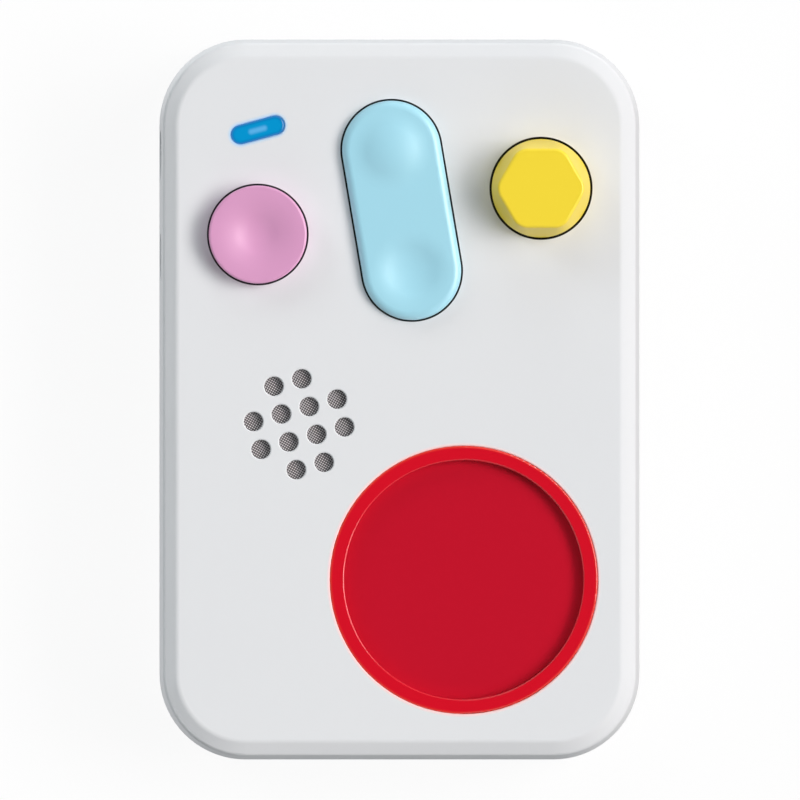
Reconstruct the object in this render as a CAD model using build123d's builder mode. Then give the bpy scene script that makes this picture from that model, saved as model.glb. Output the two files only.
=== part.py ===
from build123d import *
from math import atan2, cos, degrees, radians, sin, sqrt, tan
import os

os.makedirs("parts", exist_ok=True)

# An audio story player for children: a flat bevelled box with a round tray for a story tag, a speaker,
# a play button, a skip rocker, a volume knob and a status light.
# It lies on its back: +Z points out of its face, +Y to its top edge and +X to its right edge.
# The origin is under the middle of the casing, on the surface that the feet stand on. Millimetres.

# Casing
body_width = 120
body_length = 180
corner_radius = 21.5
foot_stand = 1  # how far the feet hold the casing off the table
parting_height = 15  # where the back shell meets the front shell
face_height = 35
wall = 2.4
wall_draft = 2.8  # degrees that each side wall leans in, away from the parting line
bevel_width = 3.6
bevel_depth = 1.9
bevel_blend = 2.4  # rounding between the bevel and the face
shoulder_blend = 1.2  # rounding between the bevel and the side wall
back_edge_radius = 5
parting_chamfer = 0.3
lip_thickness = 1.1
lip_height = 1.7
lip_clearance = 0.1
edge_break = 0.25  # tiny chamfer round the holes of the light, the grille and the tray
side_rib = 1.6  # thickness of the ribs that tie the side posts to the walls
rib_thickness = 1.2
rib_height = 1.6
rib_field = (76, 44)  # stiffening ribs under the board: across and along
cut_start = 1  # how far outside a wall its recesses are cut from

# Places on the face, measured from its middle, and how far each shape is turned, in degrees
play_spot = (-35.4, 41.25)
rocker_spot = (0.57, 47.29)
rocker_turn = 9.58
knob_spot = (35.4, 52.8)
lamp_spot = (-35.4, 67.4)
lamp_turn = 15.3
speaker_spot = (-25.14, -6.2)
grille_turn = 15
tray_spot = (16.1, -45.1)

# Round play button
play_radius = 12.27
play_rise = 4.3
play_gap = 0.38
play_travel = 1.5
play_edge = 0.6
play_dish_radius = 11.3
play_dish_steepest = 4.4  # radius where the dish is steepest
play_dish_slope = 17  # degrees, at its steepest

# Skip rocker: a stadium with a swelling at one end and a dish at the other
rocker_half_length = 15.31  # from its middle to the centre of each round end
rocker_radius = 12.34
rocker_rise = 2.6
rocker_gap = 0.38
rocker_tilt = 2.5  # degrees each way
rocker_edge = 2
rocker_swell_radius = 10.2
rocker_swell_steepest = 5.9
rocker_swell_slope = 15
rocker_pusher_reach = 18  # pushers stand this far from the pivot
rocker_pin_radius = 1
rocker_pin_cover = 0.5  # plastic over the pin, under the top of the flange
pin_edge = 0.2
pivot_boss = 2.4  # half the breadth of the boss round the pin
frame_gap = 0.4  # between the rocker's flange and the frame that carries it
frame_wall = 1.8
frame_thickness = 1.8  # of its ears
frame_pin_cover = 0.6  # plastic past the blind end of the pin's bore
frame_ear_stand = 1.5  # between the frame and its screws' ears
frame_ear_y = 17
frame_ear_neck = 4  # width of the necks that carry the frame's ears
frame_post_height = 5

# Volume knob: a round base that runs up into a six-sided grip
knob_radius = 12.32
knob_rise = 9.8
knob_gap = 0.5
grip_across_flats = 19.7
grip_draft = 14.7
grip_corner = 4.2
grip_edge = 0.8
knob_roof_thickness = 2.2
hub_wall = 1.6
hub_cavity_radius = 8
shaft_radius = 3
shaft_flat = 1.5  # from the shaft's middle to its flat
shaft_end_depth = 4.4  # from the top of the knob down to the shaft's end
shaft_edge = 0.3
shaft_lift = 1  # from the board up to the shaft's foot
encoder_size = (12, 12.5, 6.8)
encoder_edge = 0.6
bushing_height = 5
bushing_wall = 0.5

# What the caps have in common
flange_width = 1.9  # how far a retaining flange stands out past its cap
flange_thickness = 1.5
cap_wall = 1.8
cap_roof = 1.4
web_thickness = 1.2  # of the stiffeners inside the caps
stop_gap = 0.1  # between a sprung flange and the face that stops it
slip = 0.3  # running clearance between moving mouldings
play_collar_wall = 1.5
play_collar_depth = 5.6
knob_collar_wall = 1
knob_collar_depth = 3.1

# Status light
lamp_half_length = 4.46
lamp_radius = 2.41
lamp_rise = 0.4
lamp_edge = 0.6
lamp_flange = 1
lamp_flange_thickness = 1.2
light_pipe_radius = 1.6
lamp_body = (3.5, 2.8, 1.1)
lamp_cup = (1.1, 0.3)  # radius and depth

# Speaker and its grille
grille_pitch = 7.2
grille_hole_radius = 2.4
grille_thickness = 1.6
speaker_radius = 18
speaker_depth = 15
cloth_thickness = 0.4
cloth_lap = 0.5  # past the driver's rim
gasket_thickness = 1
gasket_width = 2.4
basket_rim = 1
basket_depth = 6.5
basket_sheet = 0.8
basket_taper = 6  # how much narrower its neck is than its rim
basket_lip = 2  # width of its flat rim
basket_window = (7, 9, 3.4)  # cut-outs in its side: along, across and high
surround_width = 2.4  # rolled edge of the cone
surround_sink = 0.2
surround_crown = 0.3
cone_depth = 4.2
cone_paper = 0.5
dust_cap = (5.6, 1.6)  # radius and height
speaker_fit = 0.6  # round the driver, inside its locating ring
speaker_ring_wall = 1.4
speaker_ear_angles = (20, 140, 260)
speaker_ear_stand = 1.5  # between the driver and the screws' ears
clamp_thickness = 1.4
clamp_reach_out = 1
clamp_reach_in = 1.6
clamp_neck = (6, 4.6)
magnet_plate = 1.2
magnet_plate_inset = 0.5
magnet_inset = 1
magnet_edge = 0.4

# Story tag tray
tray_radius = 33.5
pocket_radius = 29.9
pocket_depth = 2.5
tray_floor = 1.5
tray_flange = 3
tray_edge = 0.4  # rounding on both edges of its rim
tray_wall = 1.2  # round the pocket, below the flange
tray_fit = 0.05
stake_count = 6
stake_radius = 0.9
stake_head_radius = 1.4
stake_head_height = 0.7
antenna_radius = 26
antenna_hole = 8
antenna_thickness = 1
coil_turns = 3
coil_pitch = 2
coil_inset = 1.5  # from the board's rim
coil_track = (1, 0.2)  # width and thickness

# Circuit board and what stands on it
board_top = 18.6
board_thickness = 1.6
board_upper = 72
board_speaker_gap = 4.2  # from the ring round the speaker to the board's lower edge
board_side_gap = 1.8
board_corner = 4
board_screw_inset = (6.8, 4.5)  # from the board's right edge, and from its upper and lower edges
board_screw_by_switch = 8  # from the board's left edge
board_screw_by_speaker = (-24, 3.5)  # from the middle and from the board's lower edge
dome_radius = 5
dome_height = 3.8
dome_skin = 0.8
dome_foot = 1  # width of the flat rim
dome_draft = 14
pusher_radius = 2.2
pusher_gap = 0.2
processor_spot = (16, 60)
processor_size = (9, 1)  # side and height
processor_mark = (1.1, 0.5, 0.2)  # inset, radius and depth
card_spot = (-14, 52)
card_socket_size = (11.5, 14, 1.4)
card_slot = (10, 0.7, 11)
capacitor_spot = (12, 14)  # from the middle and from the board's lower edge
capacitor_size = (2.5, 5.4)  # radius and height
capacitor_pitch = 7
header_spots = {"speaker": -34, "battery": 14, "antenna": 28}
header_size = (6.4, 5, 4.4)
header_slot = (1.4, 1)  # width and depth
header_wall = 0.8
header_edge_gap = 0.6  # from the board's lower edge
lead_radius = 0.9
bend_share = 0.45  # of the shorter run beside a bend

# Sockets and switch in the left wall
port_height = 20.5
port_y = 35.4
port_pocket = (12, 6.4, 1.2)  # along the wall, up the wall, deep
port_size = (8.94, 3.26, 7.35)
port_recess = 0.2
port_sheet = 0.3
port_back = 1.2  # how far inside its rear the shell's bore ends
port_moulding = 1  # thickness of the moulding behind the tongue
port_fit = 0.1  # round the moulding
port_tongue = (6.7, 0.7, 4.4)
port_foot = (2, 1)
slider_y = 61
slider_pocket = (12.5, 7, 1)
slider_thumb = (5, 3.4)
thumb_corner = 1
thumb_sink = 0.1  # below the wall's outer face
thumb_groove = (1.2, 0.5, 0.4)  # pitch, width and depth
slider_travel = 5
carriage_thickness = 0.8
carriage_wall_gap = 0.85
carriage_corner = 0.6
carriage_lap = (0.6, 0.8)  # behind the edges of its window: along and across
switch_size = (12.5, 4.4, 4)
switch_tongue = (2.5, 1.6, 1.4)

# Battery
cell_radius = 9.2
cell_length = 69
cell_edge = 0.6
battery_spot = (0, -45)
cell_lift = 0.4
saddle_thickness = 2
saddle_inset = 10  # from each end of the cell
saddle_drop = 2  # from the cell's axis down to the top of its cradle
pad_thickness = 1
pad_gap = 0.1
pad_start = 4  # above the cell's axis
pad_inset = 0.5  # from the strap's edges
strap_thickness = 1.6
strap_width = 12
strap_post_stand = 7  # from the cell to the middle of the strap's posts

# Fasteners: shank radius, head radius, head height
case_screw = (1.25, 2.6, 1.6)
small_screw = (0.95, 1.9, 1.2)
case_screw_length = 10
board_screw_length = 7.6
frame_screw_length = 5
clamp_screw_length = 3.4
strap_screw_length = 5
screw_clearance = 0.05
pin_clearance = 0.05  # round the rocker's pin in the frame
pin_grip = 0.02  # round the pin in the rocker, and round the shaft in the knob
head_clearance = 0.3
case_post_radius = 4.2
small_post_radius = 3
case_pilot_depth = 11
small_pilot_depth = 4.5
pilot_spare = 0.8  # past the screw's end
well_floor_thickness = 2.5
corner_post_inset = 12
side_post_inset = 8
side_post_board_gap = 5  # from the board's lower edge to the middle of the side posts
case_post_meet = 9.5
foot_radius = 6
foot_thickness = 2
foot_edge = 0.3
foot_spots = [(-39, -66), (39, -66), (-39, 64), (39, 64)]

# Heights and sizes that follow
ceiling = face_height - wall  # underside of the face
floor_top = foot_stand + wall  # inside of the back
shoulder_height = face_height - bevel_depth
bevel_angle = degrees(atan2(bevel_width, bevel_depth))
board_right = body_width / 2 - wall - board_side_gap
board_bottom = board_top - board_thickness
grille_back = face_height - grille_thickness
pocket_floor = face_height - pocket_depth
tray_underside = pocket_floor - tray_floor
tray_flange_bottom = ceiling - flange_thickness
play_dish_depth = play_dish_radius * tan(radians(play_dish_slope / 2))
rocker_swell_height = rocker_swell_radius * tan(radians(rocker_swell_slope / 2))
rocker_end = rocker_half_length + rocker_radius
rocker_drop = (rocker_end + flange_width) * sin(radians(rocker_tilt))
rocker_flange_top = ceiling - rocker_drop - slip
rocker_pivot = rocker_flange_top - rocker_pin_cover - rocker_pin_radius
frame_bore = rocker_radius + flange_width + frame_gap
frame_outer = frame_bore + frame_wall
rocker_pin_length = 2 * frame_outer
frame_seat = ceiling - frame_post_height
frame_top = ceiling - frame_gap
frame_bottom = frame_seat - frame_thickness
frame_ear_x = frame_outer + small_post_radius + frame_ear_stand
play_top = face_height + play_rise
rocker_top = face_height + rocker_rise
knob_top = face_height + knob_rise
shaft_top = knob_top - shaft_end_depth
well_floor = case_post_meet - well_floor_thickness
cell_axis = floor_top + cell_lift + cell_radius
strap_foot = cell_axis - saddle_drop
dome_top = board_top + dome_height
wall_lean_at_port = (port_height - parting_height) * tan(radians(wall_draft))
port_wall_x = -body_width / 2 + wall_lean_at_port  # outer face of the left wall, level with the ports
slider_window = (slider_thumb[0] + slider_travel + 2 * slip, slider_thumb[1] + 2 * slip)

# The driver stands right behind the grille, or further from the tray where the two would meet
speaker_ring = speaker_radius + speaker_fit + speaker_ring_wall
tray_way = (speaker_spot[0] - tray_spot[0], speaker_spot[1] - tray_spot[1])
tray_distance = sqrt(tray_way[0] ** 2 + tray_way[1] ** 2)
driver_room = speaker_ring + tray_radius + tray_flange + stop_gap
driver_shift = max(0, driver_room / tray_distance - 1)
driver_spot = (speaker_spot[0] + driver_shift * tray_way[0], speaker_spot[1] + driver_shift * tray_way[1])
board_lower = driver_spot[1] + speaker_ring + board_speaker_gap
side_post_y = board_lower - side_post_board_gap

# Where the screws and the grille's holes are
case_screw_spots = [
    (side * (body_width / 2 - corner_post_inset), end * (body_length / 2 - corner_post_inset))
    for side in (-1, 1)
    for end in (-1, 1)
]
case_screw_spots += [(side * (body_width / 2 - side_post_inset), side_post_y) for side in (-1, 1)]
board_screw_spots = [
    (-board_right + board_screw_by_switch, board_upper - board_screw_inset[1]),
    (board_right - board_screw_inset[0], board_upper - board_screw_inset[1]),
    (board_right - board_screw_inset[0], board_lower + board_screw_inset[1]),
    (board_screw_by_speaker[0], board_lower + board_screw_by_speaker[1]),
]
frame_ear_spots = [(side * frame_ear_x, end * frame_ear_y) for side in (-1, 1) for end in (-1, 1)]
grille_steps = [grille_pitch * (n - 1.5) for n in range(4)]
grille_spots = [
    (x, y) for x in grille_steps for y in grille_steps if abs(x) + abs(y) < 2.5 * grille_pitch
]
speaker_ear_reach = speaker_radius + small_post_radius + speaker_ear_stand
speaker_seat = grille_back - cloth_thickness - gasket_thickness
speaker_rim_bottom = speaker_seat - basket_rim
strap_post_reach = cell_radius + strap_post_stand


def level(spot, height, turn=0):
    """A level plane over a spot of the face, turned about Z."""
    return Plane(
        origin=(spot[0], spot[1], height),
        x_dir=(cos(radians(turn)), sin(radians(turn)), 0),
        z_dir=(0, 0, 1),
    )


def upright(spot, height):
    """A plane that stands along X over a spot and looks to -Y: local Y is up."""
    return Plane(origin=(spot[0], spot[1], height), x_dir=(1, 0, 0), z_dir=(0, -1, 0))


def left_wall(y, depth=0):
    """A plane on the left wall at the height of the ports, looking out; depth moves it inwards."""
    return Plane(origin=(port_wall_x + depth, y, port_height), x_dir=(0, 1, 0), z_dir=(-1, 0, 0))


def on_rocker(x, y):
    """The spot of the face at a place on the rocker: x across it, y along it."""
    point = level(rocker_spot, 0, rocker_turn).from_local_coords((x, y, 0))
    return (point.X, point.Y)


def centre_line(spot):
    """The vertical axis through a spot."""
    return Axis((spot[0], spot[1], 0), (0, 0, 1))


def casing_outline(inset=0, mode=Mode.ADD):
    """Draw the casing's outline at the parting line, drawn in by an inset, into the open sketch."""
    return RectangleRounded(
        body_width - 2 * inset, body_length - 2 * inset, corner_radius - inset, mode=mode
    )


def swell(radius, steepest, slope, sign):
    """Half section between a flat top and a soft swelling on it (sign 1) or a dish in it (sign -1)."""
    height = sign * radius * tan(radians(slope / 2))
    with BuildSketch() as section:
        with BuildLine():
            crown = JernArc((0, height), (1, 0), steepest / sin(radians(slope)), -sign * slope)
            flare = JernArc(crown @ 1, crown % 1, (radius - steepest) / sin(radians(slope)), sign * slope)
            Polyline(flare @ 1, (0, 0), (0, height))
        make_face()
    return section.sketch


def screws(spots, seat, size, length, way=1):
    """Pan-head screws whose heads bear on the height seat; way 1 drives them up, -1 down."""
    shank_radius, head_radius, head_height = size
    with BuildPart() as group:
        with BuildSketch(Plane.XY.offset(seat)):
            with Locations(*spots):
                Circle(head_radius)
        extrude(amount=-way * head_height)
        with BuildSketch(Plane.XY.offset(seat)):
            with Locations(*spots):
                Circle(shank_radius)
        extrude(amount=way * length)
    return group


def dome_pads(spots):
    """Silicone switch domes: a thin bell on a flat rim, standing on the board."""
    with BuildPart() as group:
        with BuildSketch(Plane.XY.offset(board_top)):
            with Locations(*spots):
                Circle(dome_radius)
        extrude(amount=dome_skin)
        with BuildSketch(Plane.XY.offset(board_top + dome_skin)):
            with Locations(*spots):
                Circle(dome_radius - dome_foot)
        extrude(amount=dome_height - dome_skin, taper=dome_draft)
        with BuildSketch(Plane.XY.offset(board_top)):
            with Locations(*spots):
                Circle(dome_radius - dome_foot - dome_skin)
        extrude(amount=dome_height - 1.5 * dome_skin, taper=dome_draft, mode=Mode.SUBTRACT)
    return group


def jacketed_lead(name, points):
    """A round two-core lead along a route; every bend is as wide as its runs allow."""
    runs = [Vector(b) - Vector(a) for a, b in zip(points, points[1:])]
    bends = []
    for before, after in zip(runs, runs[1:]):
        half_turn = radians(before.get_angle(after) / 2)
        bends.append(bend_share * min(before.length, after.length) / tan(half_turn))
    print(name, "bend radii", [round(bend, 1) for bend in bends])
    with BuildPart() as lead:
        with BuildLine():
            FilletPolyline(*points, radius=bends)
        with BuildSketch(Plane(origin=points[0], z_dir=runs[0])):
            Circle(lead_radius)
        sweep()
    return lead


def save(piece, name):
    """Label a finished piece and write it out under the same name."""
    piece.part.label = name
    export_step(piece.part, f"parts/{name}.step")


# Front shell: drafted walls, a flat bevel and the face, hollowed from below
with BuildPart() as front_shell:
    with BuildSketch(Plane.XY.offset(parting_height)):
        casing_outline()
    extrude(amount=shoulder_height - parting_height, taper=wall_draft)
    extrude(front_shell.faces().sort_by(Axis.Z)[-1], amount=bevel_depth, taper=bevel_angle)
    offset(amount=-wall, openings=front_shell.faces().sort_by(Axis.Z)[0], kind=Kind.INTERSECTION)
    fillet(front_shell.edges().group_by(Axis.Z)[-1], radius=bevel_blend)
    fillet(
        front_shell.edges().filter_by_position(Axis.Z, shoulder_height - 0.01, shoulder_height + 0.01),
        radius=shoulder_blend,
    )

    # rebate for the back shell's lip, and the fine groove of the parting line
    with BuildSketch(Plane.XY.offset(parting_height)):
        casing_outline(wall - lip_thickness - lip_clearance)
    extrude(amount=lip_height + lip_clearance, mode=Mode.SUBTRACT)
    outer_edge = front_shell.faces().sort_by(Axis.Z)[0].outer_wire().edges()
    chamfer(outer_edge, length=parting_chamfer)

    # posts for the case screws, the board and the rocker's frame
    with BuildSketch(Plane.XY.offset(case_post_meet + stop_gap)):
        with Locations(*case_screw_spots):
            Circle(case_post_radius)
    extrude(amount=ceiling - case_post_meet)
    for side in (-1, 1):
        with BuildSketch(Plane.XY.offset(parting_height + lip_height + slip)):
            with Locations((side * (body_width - side_post_inset - wall) / 2, side_post_y)):
                Rectangle(side_post_inset - wall, side_rib)
        extrude(amount=ceiling - parting_height - lip_height)
    with BuildSketch(Plane.XY.offset(board_top)):
        with Locations(*board_screw_spots):
            Circle(small_post_radius)
    extrude(amount=ceiling - board_top)
    with BuildSketch(level(rocker_spot, frame_seat, rocker_turn)):
        with Locations(*frame_ear_spots):
            Circle(small_post_radius)
    extrude(amount=ceiling - frame_seat)

    # guide collars round the play button and the knob
    play_collar = play_radius + flange_width + slip
    with BuildSketch(level(play_spot, ceiling - play_collar_depth)):
        Circle(play_collar + play_collar_wall)
        Circle(play_collar, mode=Mode.SUBTRACT)
    extrude(amount=play_collar_depth)
    knob_collar = knob_radius + flange_width + slip
    with BuildSketch(level(knob_spot, ceiling - knob_collar_depth)):
        Circle(knob_collar + knob_collar_wall)
        Circle(knob_collar, mode=Mode.SUBTRACT)
    extrude(amount=knob_collar_depth)

    # locating ring and screw bosses of the speaker
    with BuildSketch(level(driver_spot, speaker_rim_bottom)):
        Circle(speaker_ring)
        with PolarLocations(speaker_ear_reach, 3, speaker_ear_angles[0]):
            Circle(small_post_radius)
        Circle(speaker_radius + speaker_fit, mode=Mode.SUBTRACT)
    extrude(amount=ceiling - speaker_rim_bottom)
    with BuildSketch(level(driver_spot, ceiling)):
        Circle(speaker_radius + speaker_fit)
    extrude(amount=grille_back - ceiling, mode=Mode.SUBTRACT)

    # holes of the light, the tray and the grille, with their edges broken
    with BuildSketch(level(lamp_spot, face_height, lamp_turn)):
        SlotCenterToCenter(2 * lamp_half_length, 2 * lamp_radius)
    extrude(amount=-wall, mode=Mode.SUBTRACT)
    with BuildSketch(level(tray_spot, face_height)):
        Circle(tray_radius + tray_fit)
    extrude(amount=-wall, mode=Mode.SUBTRACT)
    with BuildSketch(level(speaker_spot, face_height, grille_turn)):
        with Locations(*grille_spots):
            Circle(grille_hole_radius)
    extrude(amount=-grille_thickness, mode=Mode.SUBTRACT)
    face_rims = front_shell.faces().sort_by(Axis.Z)[-1].inner_wires()
    chamfer([edge for rim in face_rims for edge in rim.edges()], length=edge_break)

    # openings that the caps come through, left sharp so that the gaps stay fine
    with BuildSketch(level(play_spot, face_height)):
        Circle(play_radius + play_gap)
    extrude(amount=-wall, mode=Mode.SUBTRACT)
    with BuildSketch(level(rocker_spot, face_height, rocker_turn)):
        SlotCenterToCenter(2 * rocker_half_length, 2 * (rocker_radius + rocker_gap), rotation=90)
    extrude(amount=-wall, mode=Mode.SUBTRACT)
    with BuildSketch(level(knob_spot, face_height)):
        Circle(knob_radius + knob_gap)
    extrude(amount=-wall, mode=Mode.SUBTRACT)

    # heat-staked pegs that hold the tray's flange
    with BuildSketch(level(tray_spot, tray_flange_bottom)):
        with PolarLocations(tray_radius + tray_flange / 2, stake_count):
            Circle(stake_radius)
    extrude(amount=flange_thickness)
    with BuildSketch(level(tray_spot, tray_flange_bottom)):
        with PolarLocations(tray_radius + tray_flange / 2, stake_count):
            Circle(stake_head_radius)
    extrude(amount=-stake_head_height)

    # pilot holes of the screws
    with BuildSketch(Plane.XY.offset(case_post_meet)):
        with Locations(*case_screw_spots):
            Circle(case_screw[0] + screw_clearance)
    extrude(amount=case_pilot_depth, mode=Mode.SUBTRACT)
    with BuildSketch(Plane.XY.offset(board_top)):
        with Locations(*board_screw_spots):
            Circle(small_screw[0] + screw_clearance)
    extrude(amount=board_screw_length - board_thickness + pilot_spare, mode=Mode.SUBTRACT)
    with BuildSketch(level(rocker_spot, frame_seat, rocker_turn)):
        with Locations(*frame_ear_spots):
            Circle(small_screw[0] + screw_clearance)
    extrude(amount=small_pilot_depth, mode=Mode.SUBTRACT)
    with BuildSketch(level(driver_spot, speaker_rim_bottom)):
        with PolarLocations(speaker_ear_reach, 3, speaker_ear_angles[0]):
            Circle(small_screw[0] + screw_clearance)
    extrude(amount=clamp_screw_length - clamp_thickness + pilot_spare, mode=Mode.SUBTRACT)

    # charging port and power switch openings in the left wall
    for y, pocket in ((port_y, port_pocket), (slider_y, slider_pocket)):
        with BuildSketch(left_wall(y, -cut_start)):
            SlotOverall(pocket[0], pocket[1])
        extrude(amount=-cut_start - pocket[2], mode=Mode.SUBTRACT)
    with BuildSketch(left_wall(port_y)):
        SlotOverall(port_size[0] + 2 * screw_clearance, port_size[1] + 2 * screw_clearance)
    extrude(amount=-2 * wall, mode=Mode.SUBTRACT)
    with BuildSketch(left_wall(slider_y)):
        RectangleRounded(slider_window[0], slider_window[1], thumb_corner + slip / 2)
    extrude(amount=-2 * wall, mode=Mode.SUBTRACT)
save(front_shell, "front_shell")

# Back shell: a shallow pan with a lip, screw wells, foot pockets and the battery's cradle
with BuildPart() as back_shell:
    with BuildSketch(Plane.XY.offset(parting_height)):
        casing_outline()
    extrude(amount=-(parting_height - foot_stand), taper=wall_draft)
    fillet(back_shell.edges().group_by(Axis.Z)[0], radius=back_edge_radius)
    with BuildSketch(Plane.XY.offset(parting_height)):
        casing_outline(wall)
    extrude(amount=-(parting_height - floor_top), taper=wall_draft, mode=Mode.SUBTRACT)
    inner_edge = back_shell.edges().filter_by_position(Axis.Z, floor_top - 0.01, floor_top + 0.01)
    chamfer(inner_edge, length=back_edge_radius - wall)
    chamfer(back_shell.faces().sort_by(Axis.Z)[-1].outer_wire().edges(), length=parting_chamfer)

    # lip that stands inside the front shell
    with BuildSketch(Plane.XY.offset(parting_height - lip_height)):
        casing_outline(wall - lip_thickness)
        casing_outline(wall + lip_clearance / 2, mode=Mode.SUBTRACT)
    extrude(amount=2 * lip_height)

    # screw wells
    with BuildSketch(Plane.XY.offset(floor_top)):
        with Locations(*case_screw_spots):
            Circle(case_post_radius)
    extrude(amount=case_post_meet - floor_top)
    with BuildSketch(Plane.XY.offset(foot_stand)):
        with Locations(*case_screw_spots):
            Circle(case_screw[1] + head_clearance)
    extrude(amount=well_floor - foot_stand, mode=Mode.SUBTRACT)
    with BuildSketch(Plane.XY.offset(well_floor)):
        with Locations(*case_screw_spots):
            Circle(case_screw[0] + 2 * screw_clearance)
    extrude(amount=case_post_meet - well_floor, mode=Mode.SUBTRACT)

    # foot pockets
    with BuildSketch(Plane.XY.offset(foot_stand)):
        with Locations(*foot_spots):
            Circle(foot_radius + screw_clearance)
    extrude(amount=foot_thickness - foot_stand, mode=Mode.SUBTRACT)

    # stiffening ribs under the board
    with BuildSketch(Plane.XY.offset(floor_top)):
        with Locations((0, (board_upper + board_lower) / 2)):
            with GridLocations(rib_field[0] / 4, 0, 5, 1):
                Rectangle(rib_thickness, rib_field[1])
            with GridLocations(0, rib_field[1] / 3, 1, 4):
                Rectangle(rib_field[0] + rib_thickness, rib_thickness)
    extrude(amount=rib_height)

    # cradle saddles, end stops and clamp posts round the battery
    with BuildSketch(Plane.XY.offset(floor_top)):
        with Locations(battery_spot):
            with GridLocations(cell_length - 2 * saddle_inset, 0, 2, 1):
                Rectangle(saddle_thickness, 2 * cell_radius + 3 * saddle_thickness)
            with GridLocations(cell_length + saddle_thickness + 2 * slip, 0, 2, 1):
                Rectangle(saddle_thickness, cell_radius)
            with GridLocations(0, 2 * strap_post_reach, 1, 2):
                Circle(small_post_radius)
    extrude(amount=strap_foot - floor_top)
    with BuildSketch(Plane.YZ.offset(battery_spot[0])):
        with Locations((battery_spot[1], cell_axis)):
            Circle(cell_radius + screw_clearance)
    extrude(amount=cell_length / 2 + slip / 2, both=True, mode=Mode.SUBTRACT)
    with BuildSketch(Plane.XY.offset(strap_foot)):
        with Locations(battery_spot):
            with GridLocations(0, 2 * strap_post_reach, 1, 2):
                Circle(small_screw[0] + screw_clearance)
    extrude(amount=-small_pilot_depth, mode=Mode.SUBTRACT)
save(back_shell, "back_shell")

# Rubber feet, pressed into their pockets
with BuildPart() as rubber_feet:
    with BuildSketch():
        with Locations(*foot_spots):
            Circle(foot_radius)
    extrude(amount=foot_thickness)
    chamfer(rubber_feet.edges().group_by(Axis.Z)[0], length=foot_edge)
save(rubber_feet, "rubber_feet")

case_screws = screws(case_screw_spots, well_floor, case_screw, case_screw_length)
save(case_screws, "case_screws")

# Story tag tray: a flush rim, a sunk floor and a flange staked under the face
with BuildPart() as tag_tray:
    with BuildSketch(upright(tray_spot, 0)):
        with BuildLine():
            Polyline(
                (0, pocket_floor),
                (pocket_radius, pocket_floor),
                (pocket_radius, face_height),
                (tray_radius, face_height),
                (tray_radius, ceiling),
                (tray_radius + tray_flange, ceiling),
                (tray_radius + tray_flange, tray_flange_bottom),
                (pocket_radius + tray_wall, tray_flange_bottom),
                (pocket_radius + tray_wall, tray_underside),
                (0, tray_underside),
                close=True,
            )
        make_face()
    revolve(axis=centre_line(tray_spot))
    fillet(tag_tray.edges().group_by(Axis.Z)[-1], radius=tray_edge)
    with BuildSketch(level(tray_spot, tray_flange_bottom)):
        with PolarLocations(tray_radius + tray_flange / 2, stake_count):
            Circle(stake_radius + 2 * screw_clearance)
    extrude(amount=flange_thickness, mode=Mode.SUBTRACT)
save(tag_tray, "tag_tray")

# Tag reader: a round board bonded under the tray, with its printed coil
with BuildPart() as antenna_board:
    with BuildSketch(level(tray_spot, tray_underside - antenna_thickness)):
        Circle(antenna_radius)
        Circle(antenna_hole, mode=Mode.SUBTRACT)
    extrude(amount=antenna_thickness)
save(antenna_board, "antenna_board")

with BuildPart() as antenna_coil:
    with BuildSketch(level(tray_spot, tray_underside - antenna_thickness)):
        for turn in range(coil_turns):
            track = antenna_radius - coil_inset - coil_pitch * turn
            Circle(track)
            Circle(track - coil_track[0], mode=Mode.SUBTRACT)
    extrude(amount=-coil_track[1])
save(antenna_coil, "antenna_coil")

# Play button: a dished cap on a retaining flange, stiffened inside and pushing one dome
play_flange_top = ceiling - stop_gap
play_roof = play_top - play_dish_depth - cap_roof
with BuildPart() as play_button:
    with BuildSketch(level(play_spot, play_flange_top - flange_thickness)):
        Circle(play_radius + flange_width)
    extrude(amount=flange_thickness)
    with BuildSketch(level(play_spot, play_flange_top)):
        Circle(play_radius)
    extrude(amount=play_top - play_flange_top)
    fillet(play_button.edges().group_by(Axis.Z)[-1], radius=play_edge)
    with BuildSketch(upright(play_spot, play_top)):
        add(swell(play_dish_radius, play_dish_steepest, play_dish_slope, -1))
    revolve(axis=centre_line(play_spot), mode=Mode.SUBTRACT)
    with BuildSketch(level(play_spot, play_flange_top - flange_thickness)):
        Circle(play_radius - cap_wall)
    extrude(amount=play_roof - play_flange_top + flange_thickness, mode=Mode.SUBTRACT)
    with BuildSketch(level(play_spot, play_flange_top)):
        Rectangle(2 * (play_radius - cap_wall), web_thickness)
        Rectangle(web_thickness, 2 * (play_radius - cap_wall))
    extrude(amount=play_roof - play_flange_top)
    with BuildSketch(level(play_spot, dome_top + pusher_gap)):
        Circle(pusher_radius)
    extrude(amount=play_roof - dome_top - pusher_gap)
save(play_button, "play_button")

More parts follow.
